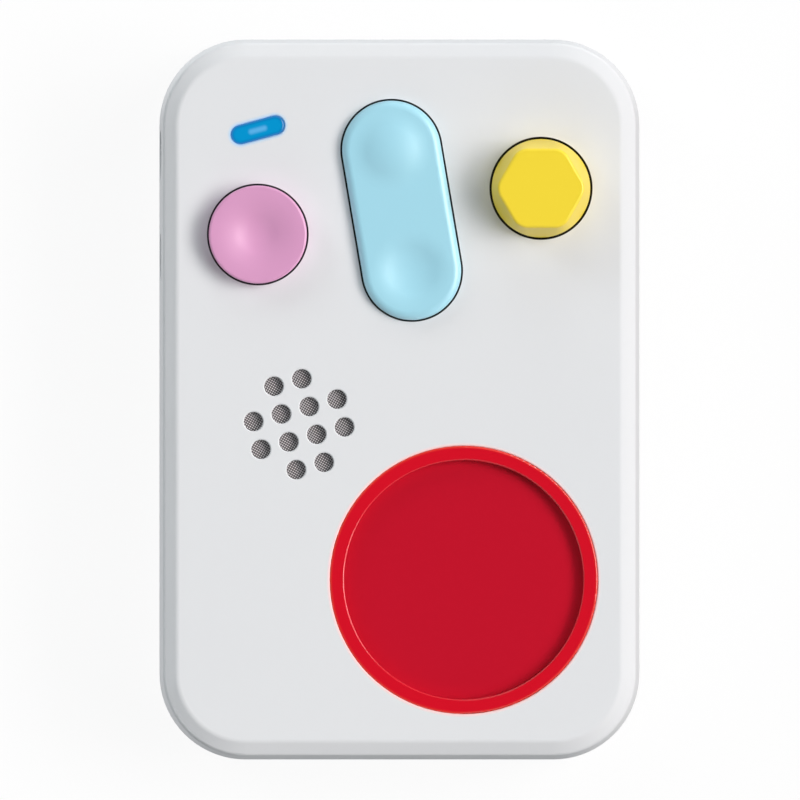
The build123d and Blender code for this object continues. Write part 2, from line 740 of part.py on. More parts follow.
# Skip rocker: flange, softly rounded cap, swelling and dish, two pushers and a bored pivot web
rocker_roof = rocker_top - rocker_swell_height - cap_roof
with BuildPart() as skip_rocker:
    with BuildSketch(level(rocker_spot, rocker_flange_top - flange_thickness, rocker_turn)):
        SlotCenterToCenter(2 * rocker_half_length, 2 * (rocker_radius + flange_width), rotation=90)
    extrude(amount=flange_thickness)
    with BuildSketch(level(rocker_spot, rocker_flange_top, rocker_turn)):
        SlotCenterToCenter(2 * rocker_half_length, 2 * rocker_radius, rotation=90)
    extrude(amount=rocker_top - rocker_flange_top)
    fillet(skip_rocker.edges().group_by(Axis.Z)[-1], radius=rocker_edge)
    swell_centre = on_rocker(0, rocker_half_length)
    dish_centre = on_rocker(0, -rocker_half_length)
    with BuildSketch(upright(swell_centre, rocker_top)):
        add(swell(rocker_swell_radius, rocker_swell_steepest, rocker_swell_slope, 1))
    revolve(axis=centre_line(swell_centre))
    with BuildSketch(upright(dish_centre, rocker_top)):
        add(swell(rocker_swell_radius, rocker_swell_steepest, rocker_swell_slope, -1))
    revolve(axis=centre_line(dish_centre), mode=Mode.SUBTRACT)
    with BuildSketch(level(rocker_spot, rocker_flange_top - flange_thickness, rocker_turn)):
        SlotCenterToCenter(2 * rocker_half_length, 2 * (rocker_radius - cap_wall), rotation=90)
    extrude(amount=rocker_roof - rocker_flange_top + flange_thickness, mode=Mode.SUBTRACT)
    with BuildSketch(level(rocker_spot, rocker_pivot - pivot_boss, rocker_turn)):
        Rectangle(2 * (rocker_radius + flange_width), 2 * pivot_boss)
    extrude(amount=rocker_flange_top - rocker_pivot + pivot_boss)
    with BuildSketch(level(rocker_spot, rocker_flange_top, rocker_turn)):
        Rectangle(2 * (rocker_radius - cap_wall), web_thickness)
        Rectangle(web_thickness, 2 * (rocker_end - cap_wall))
    extrude(amount=rocker_roof - rocker_flange_top)
    with BuildSketch(level(rocker_spot, dome_top + pusher_gap, rocker_turn)):
        with GridLocations(0, 2 * rocker_pusher_reach, 1, 2):
            Circle(pusher_radius)
    extrude(amount=rocker_roof - dome_top - pusher_gap)
    pivot_plane = Plane(
        origin=(rocker_spot[0], rocker_spot[1], rocker_pivot),
        z_dir=(cos(radians(rocker_turn)), sin(radians(rocker_turn)), 0),
    )
    with BuildSketch(pivot_plane):
        Circle(rocker_pin_radius + pin_grip)
    extrude(amount=rocker_pin_length / 2, both=True, mode=Mode.SUBTRACT)
save(skip_rocker, "skip_rocker")

with BuildPart() as rocker_pin:
    with BuildSketch(pivot_plane):
        Circle(rocker_pin_radius)
    extrude(amount=rocker_pin_length / 2, both=True)
    chamfer(rocker_pin.edges().filter_by(GeomType.CIRCLE), length=pin_edge)
save(rocker_pin, "rocker_pin")

# Frame that carries the rocker's pin, screwed to posts under the face
ear_neck = (frame_ear_x + frame_bore) / 2
with BuildPart() as rocker_frame:
    with BuildSketch(level(rocker_spot, frame_bottom, rocker_turn)):
        SlotCenterToCenter(2 * rocker_half_length, 2 * frame_outer, rotation=90)
        Rectangle(2 * (frame_outer + frame_pin_cover), 3 * pivot_boss)
    extrude(amount=frame_top - frame_bottom)
    with BuildSketch(level(rocker_spot, frame_bottom, rocker_turn)):
        with Locations(*frame_ear_spots):
            Circle(small_post_radius)
        with GridLocations(2 * ear_neck, 2 * frame_ear_y, 2, 2):
            Rectangle(frame_ear_x - frame_bore, frame_ear_neck)
    extrude(amount=frame_thickness)
    with BuildSketch(level(rocker_spot, frame_bottom, rocker_turn)):
        SlotCenterToCenter(2 * rocker_half_length, 2 * frame_bore, rotation=90)
        with Locations(*frame_ear_spots):
            Circle(small_screw[0] + 3 * screw_clearance)
    extrude(amount=frame_top - frame_bottom, mode=Mode.SUBTRACT)
    # the pin's bore: blind on the right, open on the left, where the pin goes in
    with BuildSketch(pivot_plane.offset(rocker_pin_length / 2 + stop_gap)):
        Circle(rocker_pin_radius + pin_clearance)
    extrude(amount=-(rocker_pin_length + frame_pin_cover + 2 * stop_gap), mode=Mode.SUBTRACT)
save(rocker_frame, "rocker_frame")

frame_screw_spots = [on_rocker(x, y) for x, y in frame_ear_spots]
rocker_frame_screws = screws(frame_screw_spots, frame_bottom, small_screw, frame_screw_length)
save(rocker_frame_screws, "rocker_frame_screws")

# Silicone domes under the play button and under each end of the rocker
play_dome = dome_pads([play_spot])
save(play_dome, "play_dome")
rocker_domes = dome_pads([on_rocker(0, end * rocker_pusher_reach) for end in (-1, 1)])
save(rocker_domes, "rocker_domes")

# Volume knob: round base, six drafted flats, flange and a D-bored hub
knob_flange_top = ceiling - 2 * stop_gap
knob_flange_bottom = knob_flange_top - flange_thickness
with BuildPart() as volume_knob:
    with BuildSketch(level(knob_spot, knob_flange_top)):
        Circle(knob_radius)
    extrude(amount=knob_top - knob_flange_top)
    with BuildSketch(level(knob_spot, knob_top)) as grip_outline:
        RegularPolygon(grip_across_flats / 2, 6, major_radius=False)
        fillet(grip_outline.vertices(), radius=grip_corner)
    extrude(amount=-(knob_top - knob_flange_top), taper=-grip_draft, mode=Mode.INTERSECT)
    fillet(volume_knob.edges().group_by(Axis.Z)[-1], radius=grip_edge)
    with BuildSketch(level(knob_spot, knob_flange_bottom)):
        Circle(knob_radius + flange_width)
    extrude(amount=flange_thickness)
    with BuildSketch(level(knob_spot, knob_flange_bottom)):
        Circle(hub_cavity_radius)
        Circle(shaft_radius + hub_wall, mode=Mode.SUBTRACT)
    extrude(amount=knob_top - knob_roof_thickness - knob_flange_bottom, mode=Mode.SUBTRACT)
    with BuildSketch(level(knob_spot, knob_flange_bottom)):
        Circle(shaft_radius + pin_grip)
        with Locations((0, shaft_flat + pin_grip + shaft_radius)):
            Rectangle(4 * shaft_radius, 2 * shaft_radius, mode=Mode.SUBTRACT)
    extrude(amount=shaft_top + stop_gap - knob_flange_bottom, mode=Mode.SUBTRACT)
save(volume_knob, "volume_knob")

# Rotary encoder under the knob
shaft_bottom = board_top + shaft_lift
with BuildPart() as encoder_shaft:
    with BuildSketch(level(knob_spot, shaft_bottom)):
        Circle(shaft_radius)
    extrude(amount=shaft_top - shaft_bottom)
    with BuildSketch(level(knob_spot, knob_flange_bottom - 2 * stop_gap)):
        with Locations((0, shaft_flat + shaft_radius)):
            Rectangle(4 * shaft_radius, 2 * shaft_radius)
    extrude(amount=shaft_top, mode=Mode.SUBTRACT)
    chamfer(encoder_shaft.edges().group_by(Axis.Z)[-1], length=shaft_edge)
save(encoder_shaft, "encoder_shaft")

with BuildPart() as encoder_body:
    with BuildSketch(level(knob_spot, board_top)):
        Rectangle(encoder_size[0], encoder_size[1])
    extrude(amount=encoder_size[2])
    chamfer(encoder_body.edges().filter_by(Axis.Z), length=encoder_edge)
    with BuildSketch(level(knob_spot, board_top + encoder_size[2])):
        Circle(shaft_radius + bushing_wall)
    extrude(amount=bushing_height)
    with BuildSketch(level(knob_spot, shaft_bottom - stop_gap)):
        Circle(shaft_radius + pin_clearance)
    extrude(amount=encoder_size[2] + bushing_height, mode=Mode.SUBTRACT)
save(encoder_body, "encoder_body")

# Status light: a clear window with its flange and light pipe, over a lamp on the board
pipe_top = ceiling - lamp_flange_thickness
with BuildPart() as status_lens:
    with BuildSketch(level(lamp_spot, ceiling, lamp_turn)):
        SlotCenterToCenter(2 * lamp_half_length, 2 * (lamp_radius - tray_fit))
    extrude(amount=wall + lamp_rise)
    fillet(status_lens.edges().group_by(Axis.Z)[-1], radius=lamp_edge)
    with BuildSketch(level(lamp_spot, ceiling, lamp_turn)):
        SlotCenterToCenter(2 * lamp_half_length, 2 * (lamp_radius + lamp_flange))
    extrude(amount=-lamp_flange_thickness)
    with BuildSketch(level(lamp_spot, pipe_top, lamp_turn)):
        SlotCenterToCenter(lamp_half_length, 2 * light_pipe_radius)
    extrude(amount=-(pipe_top - board_top - lamp_body[2] - slip))
save(status_lens, "status_lens")

with BuildPart() as status_led:
    with BuildSketch(level(lamp_spot, board_top, lamp_turn)):
        Rectangle(lamp_body[0], lamp_body[1])
    extrude(amount=lamp_body[2])
    with BuildSketch(level(lamp_spot, board_top + lamp_body[2], lamp_turn)):
        Circle(lamp_cup[0])
    extrude(amount=-lamp_cup[1], mode=Mode.SUBTRACT)
save(status_led, "status_led")

# Speaker: woven disc, foam gasket, pressed basket, cone, magnet and clamp ring
with BuildPart() as speaker_cloth:
    with BuildSketch(level(driver_spot, grille_back - cloth_thickness)):
        Circle(speaker_radius + cloth_lap)
    extrude(amount=cloth_thickness)
save(speaker_cloth, "speaker_cloth")

with BuildPart() as speaker_gasket:
    with BuildSketch(level(driver_spot, speaker_seat)):
        Circle(speaker_radius)
        Circle(speaker_radius - gasket_width, mode=Mode.SUBTRACT)
    extrude(amount=gasket_thickness)
save(speaker_gasket, "speaker_gasket")

basket_neck = speaker_radius - basket_taper
basket_bore = speaker_radius - basket_lip
basket_bottom = speaker_rim_bottom - basket_depth
basket_hole = basket_neck / 2
magnet_bottom = speaker_seat - speaker_depth
with BuildPart() as speaker_basket:
    with BuildSketch(upright(driver_spot, 0)):
        with BuildLine():
            Polyline(
                (speaker_radius, speaker_seat),
                (speaker_radius, speaker_rim_bottom),
                (basket_bore, speaker_rim_bottom),
                (basket_neck + basket_sheet, basket_bottom),
                (basket_hole, basket_bottom),
                (basket_hole, basket_bottom + basket_sheet),
                (basket_neck, basket_bottom + basket_sheet),
                (basket_bore - basket_sheet, speaker_seat - basket_sheet / 2),
                (basket_bore - basket_sheet, speaker_seat),
                close=True,
            )
        make_face()
    revolve(axis=centre_line(driver_spot))
    with BuildSketch(level(driver_spot, basket_bottom + 2 * basket_sheet)):
        with PolarLocations(basket_neck + basket_lip, 4, 45):
            Rectangle(basket_window[0], basket_window[1])
    extrude(amount=basket_window[2], mode=Mode.SUBTRACT)
save(speaker_basket, "speaker_basket")

surround_outer = basket_bore - basket_sheet - slip
surround_inner = surround_outer - surround_width
cone_face = [
    (surround_outer, -surround_sink),
    ((surround_outer + surround_inner) / 2, surround_crown),
    (surround_inner, -surround_sink),
    (dust_cap[0], -cone_depth),
    (dust_cap[0] / 2, -cone_depth + 0.75 * dust_cap[1]),
    (0, -cone_depth + dust_cap[1]),
]
cone_back = [(x, z - cone_paper) for x, z in reversed(cone_face)]
with BuildPart() as speaker_cone:
    with BuildSketch(upright(driver_spot, speaker_seat)):
        with BuildLine():
            Polyline(*cone_face, *cone_back, close=True)
        make_face()
    revolve(axis=centre_line(driver_spot))
save(speaker_cone, "speaker_cone")

with BuildPart() as speaker_magnet:
    with BuildSketch(level(driver_spot, basket_bottom)):
        Circle(basket_neck - magnet_plate_inset)
    extrude(amount=-magnet_plate)
    with BuildSketch(level(driver_spot, basket_bottom - magnet_plate)):
        Circle(basket_neck - magnet_inset)
    extrude(amount=-(basket_bottom - 2 * magnet_plate - magnet_bottom))
    with BuildSketch(level(driver_spot, magnet_bottom + magnet_plate)):
        Circle(basket_neck - magnet_plate_inset)
    extrude(amount=-magnet_plate)
    chamfer(speaker_magnet.edges().group_by(Axis.Z)[0], length=magnet_edge)
save(speaker_magnet, "speaker_magnet")

with BuildPart() as speaker_clamp:
    with BuildSketch(level(driver_spot, speaker_rim_bottom)):
        Circle(speaker_radius + clamp_reach_out)
        with PolarLocations(speaker_ear_reach, 3, speaker_ear_angles[0]):
            Circle(small_post_radius)
        with PolarLocations(speaker_radius + clamp_reach_out, 3, speaker_ear_angles[0]):
            Rectangle(clamp_neck[0], clamp_neck[1])
        Circle(speaker_radius - clamp_reach_in, mode=Mode.SUBTRACT)
        with PolarLocations(speaker_ear_reach, 3, speaker_ear_angles[0]):
            Circle(small_screw[0] + 3 * screw_clearance, mode=Mode.SUBTRACT)
    extrude(amount=-clamp_thickness)
save(speaker_clamp, "speaker_clamp")

speaker_screw_spots = [
    (
        driver_spot[0] + speaker_ear_reach * cos(radians(angle)),
        driver_spot[1] + speaker_ear_reach * sin(radians(angle)),
    )
    for angle in speaker_ear_angles
]
clamp_bottom = speaker_rim_bottom - clamp_thickness
speaker_clamp_screws = screws(speaker_screw_spots, clamp_bottom, small_screw, clamp_screw_length)
save(speaker_clamp_screws, "speaker_clamp_screws")

# Main board and its parts
with BuildPart() as main_board:
    with BuildSketch(Plane.XY.offset(board_bottom)) as board_outline:
        with Locations((0, (board_upper + board_lower) / 2)):
            RectangleRounded(2 * board_right, board_upper - board_lower, board_corner)
        with Locations(*board_screw_spots):
            Circle(small_screw[0] + 3 * screw_clearance, mode=Mode.SUBTRACT)
    extrude(amount=board_thickness)
save(main_board, "main_board")

board_screws = screws(board_screw_spots, board_bottom, small_screw, board_screw_length)
save(board_screws, "board_screws")

with BuildPart() as processor_chip:
    with BuildSketch(level(processor_spot, board_top)):
        Rectangle(processor_size[0], processor_size[0])
    extrude(amount=processor_size[1])
    # dimple that marks its first leg
    with BuildSketch(level(processor_spot, board_top + processor_size[1])):
        mark_reach = processor_size[0] / 2 - processor_mark[0]
        with Locations((-mark_reach, mark_reach)):
            Circle(processor_mark[1])
    extrude(amount=-processor_mark[2], mode=Mode.SUBTRACT)
save(processor_chip, "processor_chip")

with BuildPart() as card_socket:
    with BuildSketch(level(card_spot, board_top)):
        Rectangle(card_socket_size[0], card_socket_size[1])
    extrude(amount=card_socket_size[2])
    card_mouth = (card_spot[0], card_spot[1] - card_socket_size[1] / 2)
    with BuildSketch(upright(card_mouth, board_top + card_socket_size[2] / 2)):
        Rectangle(card_slot[0], card_slot[1])
    extrude(amount=-card_slot[2], mode=Mode.SUBTRACT)
save(card_socket, "card_socket")

with BuildPart() as capacitors:
    with BuildSketch(Plane.XY.offset(board_top)):
        with Locations((capacitor_spot[0], board_lower + capacitor_spot[1])):
            with GridLocations(0, capacitor_pitch, 1, 2):
                Circle(capacitor_size[0])
    extrude(amount=capacitor_size[1])
save(capacitors, "capacitors")

header_front = board_lower + header_edge_gap
with BuildPart() as board_headers:
    with BuildSketch(Plane.XY.offset(board_top)):
        for x in header_spots.values():
            with Locations((x, header_front + header_size[1] / 2)):
                Rectangle(header_size[0], header_size[1])
    extrude(amount=header_size[2])
    with BuildSketch(Plane.XY.offset(board_top + header_size[2])):
        for x in header_spots.values():
            with Locations((x, header_front + header_size[1] / 2 + header_wall)):
                Rectangle(header_size[0] - 2 * header_wall, header_slot[0])
    extrude(amount=-header_slot[1], mode=Mode.SUBTRACT)
save(board_headers, "board_headers")

# Charging socket: a deep-drawn shell round a contact tongue
port_mouth = port_pocket[2] + port_recess
port_bore = (port_size[0] - 2 * port_sheet, port_size[1] - 2 * port_sheet)
with BuildPart() as usb_socket:
    with BuildSketch(left_wall(port_y, port_mouth)):
        SlotOverall(port_size[0], port_size[1])
    extrude(amount=-port_size[2])
    with BuildSketch(left_wall(port_y, port_mouth)):
        SlotOverall(port_bore[0], port_bore[1])
    extrude(amount=-(port_size[2] - port_back), mode=Mode.SUBTRACT)
    # folded feet down to the board
    with BuildSketch(Plane.XY.offset(board_top)):
        with Locations((port_wall_x + port_mouth + port_size[2] - port_foot[0], port_y)):
            with GridLocations(0, port_bore[0] - 2 * port_sheet, 1, 2):
                Rectangle(port_foot[0], port_foot[1])
    extrude(amount=port_height - board_top)
    with BuildSketch(left_wall(port_y, port_mouth)):
        SlotOverall(port_bore[0], port_bore[1])
    extrude(amount=-(port_size[2] - port_back), mode=Mode.SUBTRACT)
save(usb_socket, "usb_socket")

with BuildPart() as usb_tongue:
    with BuildSketch(left_wall(port_y, port_mouth + port_size[2] - port_back)):
        SlotOverall(port_bore[0] - 2 * port_fit, port_bore[1] - 2 * port_fit)
    extrude(amount=port_moulding)
    with BuildSketch(left_wall(port_y, port_mouth + port_size[2] - port_back - port_moulding)):
        Rectangle(port_tongue[0], port_tongue[1])
    extrude(amount=port_tongue[2])
save(usb_tongue, "usb_tongue")

# Power switch: a body on the board and a slider that is carried between it and the wall
slider_rest = slider_y + slider_travel / 2
carriage_face = -body_width / 2 + wall + carriage_wall_gap
carriage_length = slider_window[0] + slider_travel + 2 * carriage_lap[0]
carriage_width = slider_thumb[1] + 2 * carriage_lap[1]
switch_face = carriage_face + carriage_thickness + slip
thumb_reach = carriage_face - port_wall_x - thumb_sink
with BuildPart() as power_slider:
    slider_plane = Plane(origin=(carriage_face, slider_rest, port_height), x_dir=(0, 1, 0), z_dir=(-1, 0, 0))
    with BuildSketch(slider_plane):
        RectangleRounded(carriage_length, carriage_width, carriage_corner)
    extrude(amount=-carriage_thickness)
    with BuildSketch(slider_plane):
        RectangleRounded(slider_thumb[0], slider_thumb[1], thumb_corner)
    extrude(amount=thumb_reach)
    # grip grooves
    with BuildSketch(slider_plane.offset(thumb_reach)):
        with GridLocations(thumb_groove[0], 0, 3, 1):
            Rectangle(thumb_groove[1], slider_thumb[1])
    extrude(amount=-thumb_groove[2], mode=Mode.SUBTRACT)
    with BuildSketch(slider_plane.offset(-carriage_thickness)):
        Rectangle(switch_tongue[0], switch_tongue[1])
    extrude(amount=-switch_tongue[2])
save(power_slider, "power_slider")

with BuildPart() as power_switch:
    with BuildSketch(Plane.XY.offset(board_top)):
        with Locations((switch_face + switch_size[2] / 2, slider_y)):
            Rectangle(switch_size[2], switch_size[0])
    extrude(amount=switch_size[1])
    slot_plane = Plane(origin=(switch_face, slider_y, port_height), x_dir=(0, 1, 0), z_dir=(-1, 0, 0))
    with BuildSketch(slot_plane):
        Rectangle(switch_tongue[0] + slider_travel + 2 * slip, switch_tongue[1] + 2 * slip)
    extrude(amount=-switch_tongue[2], mode=Mode.SUBTRACT)
save(power_switch, "power_switch")

# Battery: cell in its cradle, foam pad and clamp strap
with BuildPart() as battery_cell:
    with BuildSketch(Plane.YZ.offset(battery_spot[0])):
        with Locations((battery_spot[1], cell_axis)):
            Circle(cell_radius)
    extrude(amount=cell_length / 2, both=True)
    chamfer(battery_cell.edges().filter_by(GeomType.CIRCLE), length=cell_edge)
save(battery_cell, "battery_cell")

with BuildPart() as battery_pad:
    with BuildSketch(Plane.YZ.offset(battery_spot[0])):
        with Locations((battery_spot[1], cell_axis)):
            Circle(cell_radius + pad_thickness - pad_gap)
            Circle(cell_radius + pad_gap, mode=Mode.SUBTRACT)
        with Locations((battery_spot[1], cell_axis + pad_start - 2 * cell_radius)):
            Rectangle(4 * cell_radius, 4 * cell_radius, mode=Mode.SUBTRACT)
    extrude(amount=strap_width / 2 - pad_inset, both=True)
save(battery_pad, "battery_pad")

with BuildPart() as battery_clamp:
    with BuildSketch(Plane.YZ.offset(battery_spot[0])):
        with Locations((battery_spot[1], cell_axis)):
            Circle(cell_radius + pad_thickness + strap_thickness)
        with Locations((battery_spot[1], strap_foot + strap_thickness / 2)):
            Rectangle(2 * strap_post_reach + 2 * small_post_radius, strap_thickness)
        with Locations((battery_spot[1], cell_axis)):
            Circle(cell_radius + pad_thickness, mode=Mode.SUBTRACT)
        with Locations((battery_spot[1], strap_foot - 2 * cell_radius)):
            Rectangle(6 * cell_radius, 4 * cell_radius, mode=Mode.SUBTRACT)
    extrude(amount=strap_width / 2, both=True)
    with BuildSketch(Plane.XY.offset(strap_foot)):
        with Locations(battery_spot):
            with GridLocations(0, 2 * strap_post_reach, 1, 2):
                Circle(small_screw[0] + 3 * screw_clearance)
    extrude(amount=strap_thickness, mode=Mode.SUBTRACT)
save(battery_clamp, "battery_clamp")

strap_screw_spots = [(battery_spot[0], battery_spot[1] + side * strap_post_reach) for side in (-1, 1)]
strap_top = strap_foot + strap_thickness
battery_clamp_screws = screws(strap_screw_spots, strap_top, small_screw, strap_screw_length, way=-1)
save(battery_clamp_screws, "battery_clamp_screws")

# Leads between the board's headers and the battery, the speaker and the tag reader
header_height = board_top + header_size[2] / 2
cell_end = battery_spot[0] + cell_length / 2
battery_lead = jacketed_lead(
    "battery_lead",
    [
        (cell_end, battery_spot[1], cell_axis + 5),
        (cell_end + 7, battery_spot[1], cell_axis + 5),
        (cell_end + 8.5, battery_spot[1] + 12, cell_axis + 5),
        (cell_end + 4, battery_spot[1] + 32, cell_axis + 4),
        (header_spots["battery"] + 5, header_front - 14, header_height - 2),
        (header_spots["battery"], header_front - 7, header_height),
        (header_spots["battery"], header_front, header_height),
    ],
)
save(battery_lead, "battery_lead")

terminal_spot = (driver_spot[0] - 6.6, driver_spot[1] + speaker_radius - 1.6)
terminal_height = speaker_rim_bottom - clamp_thickness - 1
speaker_lead = jacketed_lead(
    "speaker_lead",
    [
        (terminal_spot[0], terminal_spot[1] - 1, terminal_height),
        (terminal_spot[0], terminal_spot[1] + 3, terminal_height - 1),
        (header_spots["speaker"], header_front - 4, header_height),
        (header_spots["speaker"], header_front, header_height),
    ],
)
save(speaker_lead, "speaker_lead")

coil_underside = tray_underside - antenna_thickness - coil_track[1]
antenna_lead = jacketed_lead(
    "antenna_lead",
    [
        (tray_spot[0] + 5, tray_spot[1] + 15, coil_underside - 1),
        (tray_spot[0] + 7, tray_spot[1] + 36, coil_underside - 4),
        (header_spots["antenna"], header_front - 9, header_height),
        (header_spots["antenna"], header_front, header_height),
    ],
)
save(antenna_lead, "antenna_lead")
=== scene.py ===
import bmesh
import bpy
import math
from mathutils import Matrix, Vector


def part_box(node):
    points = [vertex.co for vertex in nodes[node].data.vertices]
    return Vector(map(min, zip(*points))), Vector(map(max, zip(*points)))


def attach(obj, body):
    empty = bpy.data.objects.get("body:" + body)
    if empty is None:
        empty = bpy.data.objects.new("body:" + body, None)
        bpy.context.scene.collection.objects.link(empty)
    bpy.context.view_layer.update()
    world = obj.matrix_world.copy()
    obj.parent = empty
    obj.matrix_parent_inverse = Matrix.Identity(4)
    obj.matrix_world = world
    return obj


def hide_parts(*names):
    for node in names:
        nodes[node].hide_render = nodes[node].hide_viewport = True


# An audio story player, lying on its back: its finishes, its case screws and a plain studio.
# Metres, in the same frame as the model: +Z out of the face, +Y to the top edge. A name that ends in
# Mm holds millimetres.

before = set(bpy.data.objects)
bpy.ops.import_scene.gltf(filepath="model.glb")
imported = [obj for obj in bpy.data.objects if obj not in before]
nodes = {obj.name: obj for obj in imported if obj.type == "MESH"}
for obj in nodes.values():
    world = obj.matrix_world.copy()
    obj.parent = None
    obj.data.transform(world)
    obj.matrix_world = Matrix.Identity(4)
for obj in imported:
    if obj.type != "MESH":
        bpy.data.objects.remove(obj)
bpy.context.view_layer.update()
mm = 0.001
print("frame loaded:", len(nodes), "nodes")


def hexLinear(code):
    # an sRGB hex colour as the linear values that the shaders take
    channels = [int(code[i:i + 2], 16) / 255 for i in (1, 3, 5)]
    linear = [c / 12.92 if c <= 0.04045 else ((c + 0.055) / 1.055) ** 2.4 for c in channels]
    return (*linear, 1)


def addNode(tree, kind, settings=None):
    # one node with its settings and the values of its inputs; an input that is given a socket is linked to
    # it. A colour mix takes its share at input 0 and its colours at 6 and 7, and gives the blend at output 2.
    node = tree.nodes.new(kind)
    for name, value in (settings or {}).items():
        if isinstance(value, bpy.types.NodeSocket):
            tree.links.new(value, node.inputs[name])
        elif isinstance(name, int) or name in node.inputs:
            node.inputs[name].default_value = value
        else:
            setattr(node, name, value)
    return node


def newFinish(name, look):
    # a fresh material whose plain values come from the look
    material = bpy.data.materials.new(name)
    material.use_nodes = True
    tree = material.node_tree
    shader = tree.nodes["Principled BSDF"]
    shader.inputs["Base Color"].default_value = hexLinear(look["colour"])
    shader.inputs["Roughness"].default_value = look["roughness"]
    shader.inputs["Metallic"].default_value = look.get("metallic", 0)
    shader.inputs["IOR"].default_value = look.get("ior", 1.5)
    shader.inputs["Coat Weight"].default_value = look.get("skin", 0)
    shader.inputs["Coat Roughness"].default_value = look.get("skinRoughness", 0.3)
    place = addNode(tree, "ShaderNodeTexCoord").outputs["Object"]
    return material, tree, shader, place


def heightRamp(tree, place, lowMm, highMm):
    # 0 below one height over the floor, 1 above another
    height = addNode(tree, "ShaderNodeSeparateXYZ", {"Vector": place}).outputs["Z"]
    ramp = addNode(tree, "ShaderNodeMapRange", {"From Min": lowMm * mm, "From Max": highMm * mm, "Value": height})
    return ramp.outputs["Result"]


print("plastics")

# ABS from an etched tool: fine matt, so the bevels shade softly and nothing mirrors
shellLook = {"colour": "#E3E4E6", "drift": "#E1E2E4", "roughness": 0.8, "grainMm": 0.5, "grainDepthMm": 0.005,
             # painted shade: a near-black ring round each control's hole
             "paintedGapShade": "#08080A", "paintedGapShadeMm": 0.05, "paintedLightTopMm": (30.5, 31),
             # painted light: a blue glow beside the window and a pink reflection beside the tray
             "halo": "#BAD9F4", "haloMm": 1.1, "paintedRedBounce": "#FFD8D6", "paintedRedBounceMm": 1}
# the same plastic on the back half, which has neither window nor controls
backLook = {"colour": "#E3E4E6", "drift": "#E1E2E4", "roughness": 0.8, "grainMm": 0.5, "grainDepthMm": 0.005}
# ABS from a half-polished tool: a satin red, with a sharp thin light on its inner rim; its sunk floor is a darker
# red, and its outer lip takes a painted orange highlight
trayLook = {"colour": "#DC0824", "drift": "#D80622", "roughness": 0.24, "ior": 1.5,
            "skin": 0.7, "skinRoughness": 0.22, "grainMm": 0.7, "grainDepthMm": 0.002,
            "low": "#C60C28", "lowerShadeAndToneTopMm": (32.7, 33.2), "lip": "#E8382A", "lipInMm": (32.7, 33.5)}
# satin ABS: a broad soft light in the dish; its flange below the face is painted near black as the slot's shade
playLook = {"colour": "#DE9DC7", "drift": "#DC9BC5", "roughness": 0.42, "ior": 1.58,
            "skin": 0.8, "skinRoughness": 0.42, "grainMm": 0.7, "grainDepthMm": 0.002,
            "low": "#180014", "lowerShadeAndToneTopMm": (34.4, 34.9)}
# satin ABS: broad soft lights on the bump and in the dish; its flange below the face is painted near black as the
# slot's shade
rockerLook = {"colour": "#A7DEEF", "drift": "#A5DCED", "roughness": 0.42, "ior": 1.58,
              "skin": 0.8, "skinRoughness": 0.42, "grainMm": 0.7, "grainDepthMm": 0.002,
              "low": "#00141F", "lowerShadeAndToneTopMm": (34.4, 34.9)}
# satin ABS without the polish: each facet takes one even shade; its flange below the face is painted near black as
# the slot's shade
knobLook = {"colour": "#FADD3C", "drift": "#F8DB3A", "roughness": 0.34, "ior": 1.54,
            "grainMm": 0.7, "grainDepthMm": 0.002, "low": "#080400", "lowerShadeAndToneTopMm": (34.4, 34.9)}
# acetal, nylon and epoxy from fine-grained tools: duller and flatter than the controls
sliderLook = {"colour": "#A6A9AB", "drift": "#A2A5A7", "roughness": 0.45, "grainMm": 0.4, "grainDepthMm": 0.004}
nylonLook = {"colour": "#2B2C2E", "drift": "#27282A", "roughness": 0.55, "grainMm": 0.4, "grainDepthMm": 0.008}
headerLook = {"colour": "#E6E0D0", "drift": "#E0DAC9", "roughness": 0.5, "grainMm": 0.4, "grainDepthMm": 0.004}
chipLook = {"colour": "#1C1C1D", "drift": "#202021", "roughness": 0.6, "grainMm": 0.2, "grainDepthMm": 0.01}
# what all the mouldings share: how wide the colour's drift is, how far the gloss strays, how soft the painted
# shade round the holes ends
moulding = {"driftMm": 40, "glossStray": 0.03, "paintedGapShadeFadeMm": 0.04}

# ovals on the face, in millimetres: x and y of the middle, turn in degrees, half the straight length, radius
window = (-35.4, 67.4, 15.3 - 90, 4.46, 2.41)
trayRadius = 33.5
tray = (16.1, -45.1, 0, 0, trayRadius)
controlHoles = ((-35.4, 41.25, 0, 0, 12.65), (0.57, 47.29, 9.58, 15.31, 12.72), (35.4, 52.8, 0, 0, 12.82))


def ovalDistance(tree, place, x, y, turn, half, radius):
    # how far outside an upright oval a place lies, seen from above
    own = addNode(tree, "ShaderNodeMapping", {"vector_type": "TEXTURE", "Location": (x * mm, y * mm, 0),
                                              "Rotation": (0, 0, math.radians(turn)), "Vector": place})
    axes = addNode(tree, "ShaderNodeSeparateXYZ", {"Vector": own.outputs["Vector"]})
    away = addNode(tree, "ShaderNodeMath", {"operation": "ABSOLUTE", 0: axes.outputs["Y"]})
    past = addNode(tree, "ShaderNodeMath", {"operation": "SUBTRACT", 0: away.outputs["Value"], 1: half * mm})
    along = addNode(tree, "ShaderNodeMath", {"operation": "MAXIMUM", 0: past.outputs["Value"], 1: 0})
    flat = addNode(tree, "ShaderNodeCombineXYZ", {"X": axes.outputs["X"], "Y": along.outputs["Value"]})
    reach = addNode(tree, "ShaderNodeVectorMath", {"operation": "LENGTH", 0: flat.outputs["Vector"]})
    outside = addNode(tree, "ShaderNodeMath", {"operation": "SUBTRACT", 0: reach.outputs["Value"], 1: radius * mm})
    return outside.outputs["Value"]


def paintedGapShadeDistance(tree, place):
    # how far a place lies from the nearest control's hole
    near = None
    for hole in controlHoles:
        far = ovalDistance(tree, place, *hole)
        if near is not None:
            far = addNode(tree, "ShaderNodeMath", {"operation": "MINIMUM", 0: near, 1: far}).outputs["Value"]
        near = far
    return near


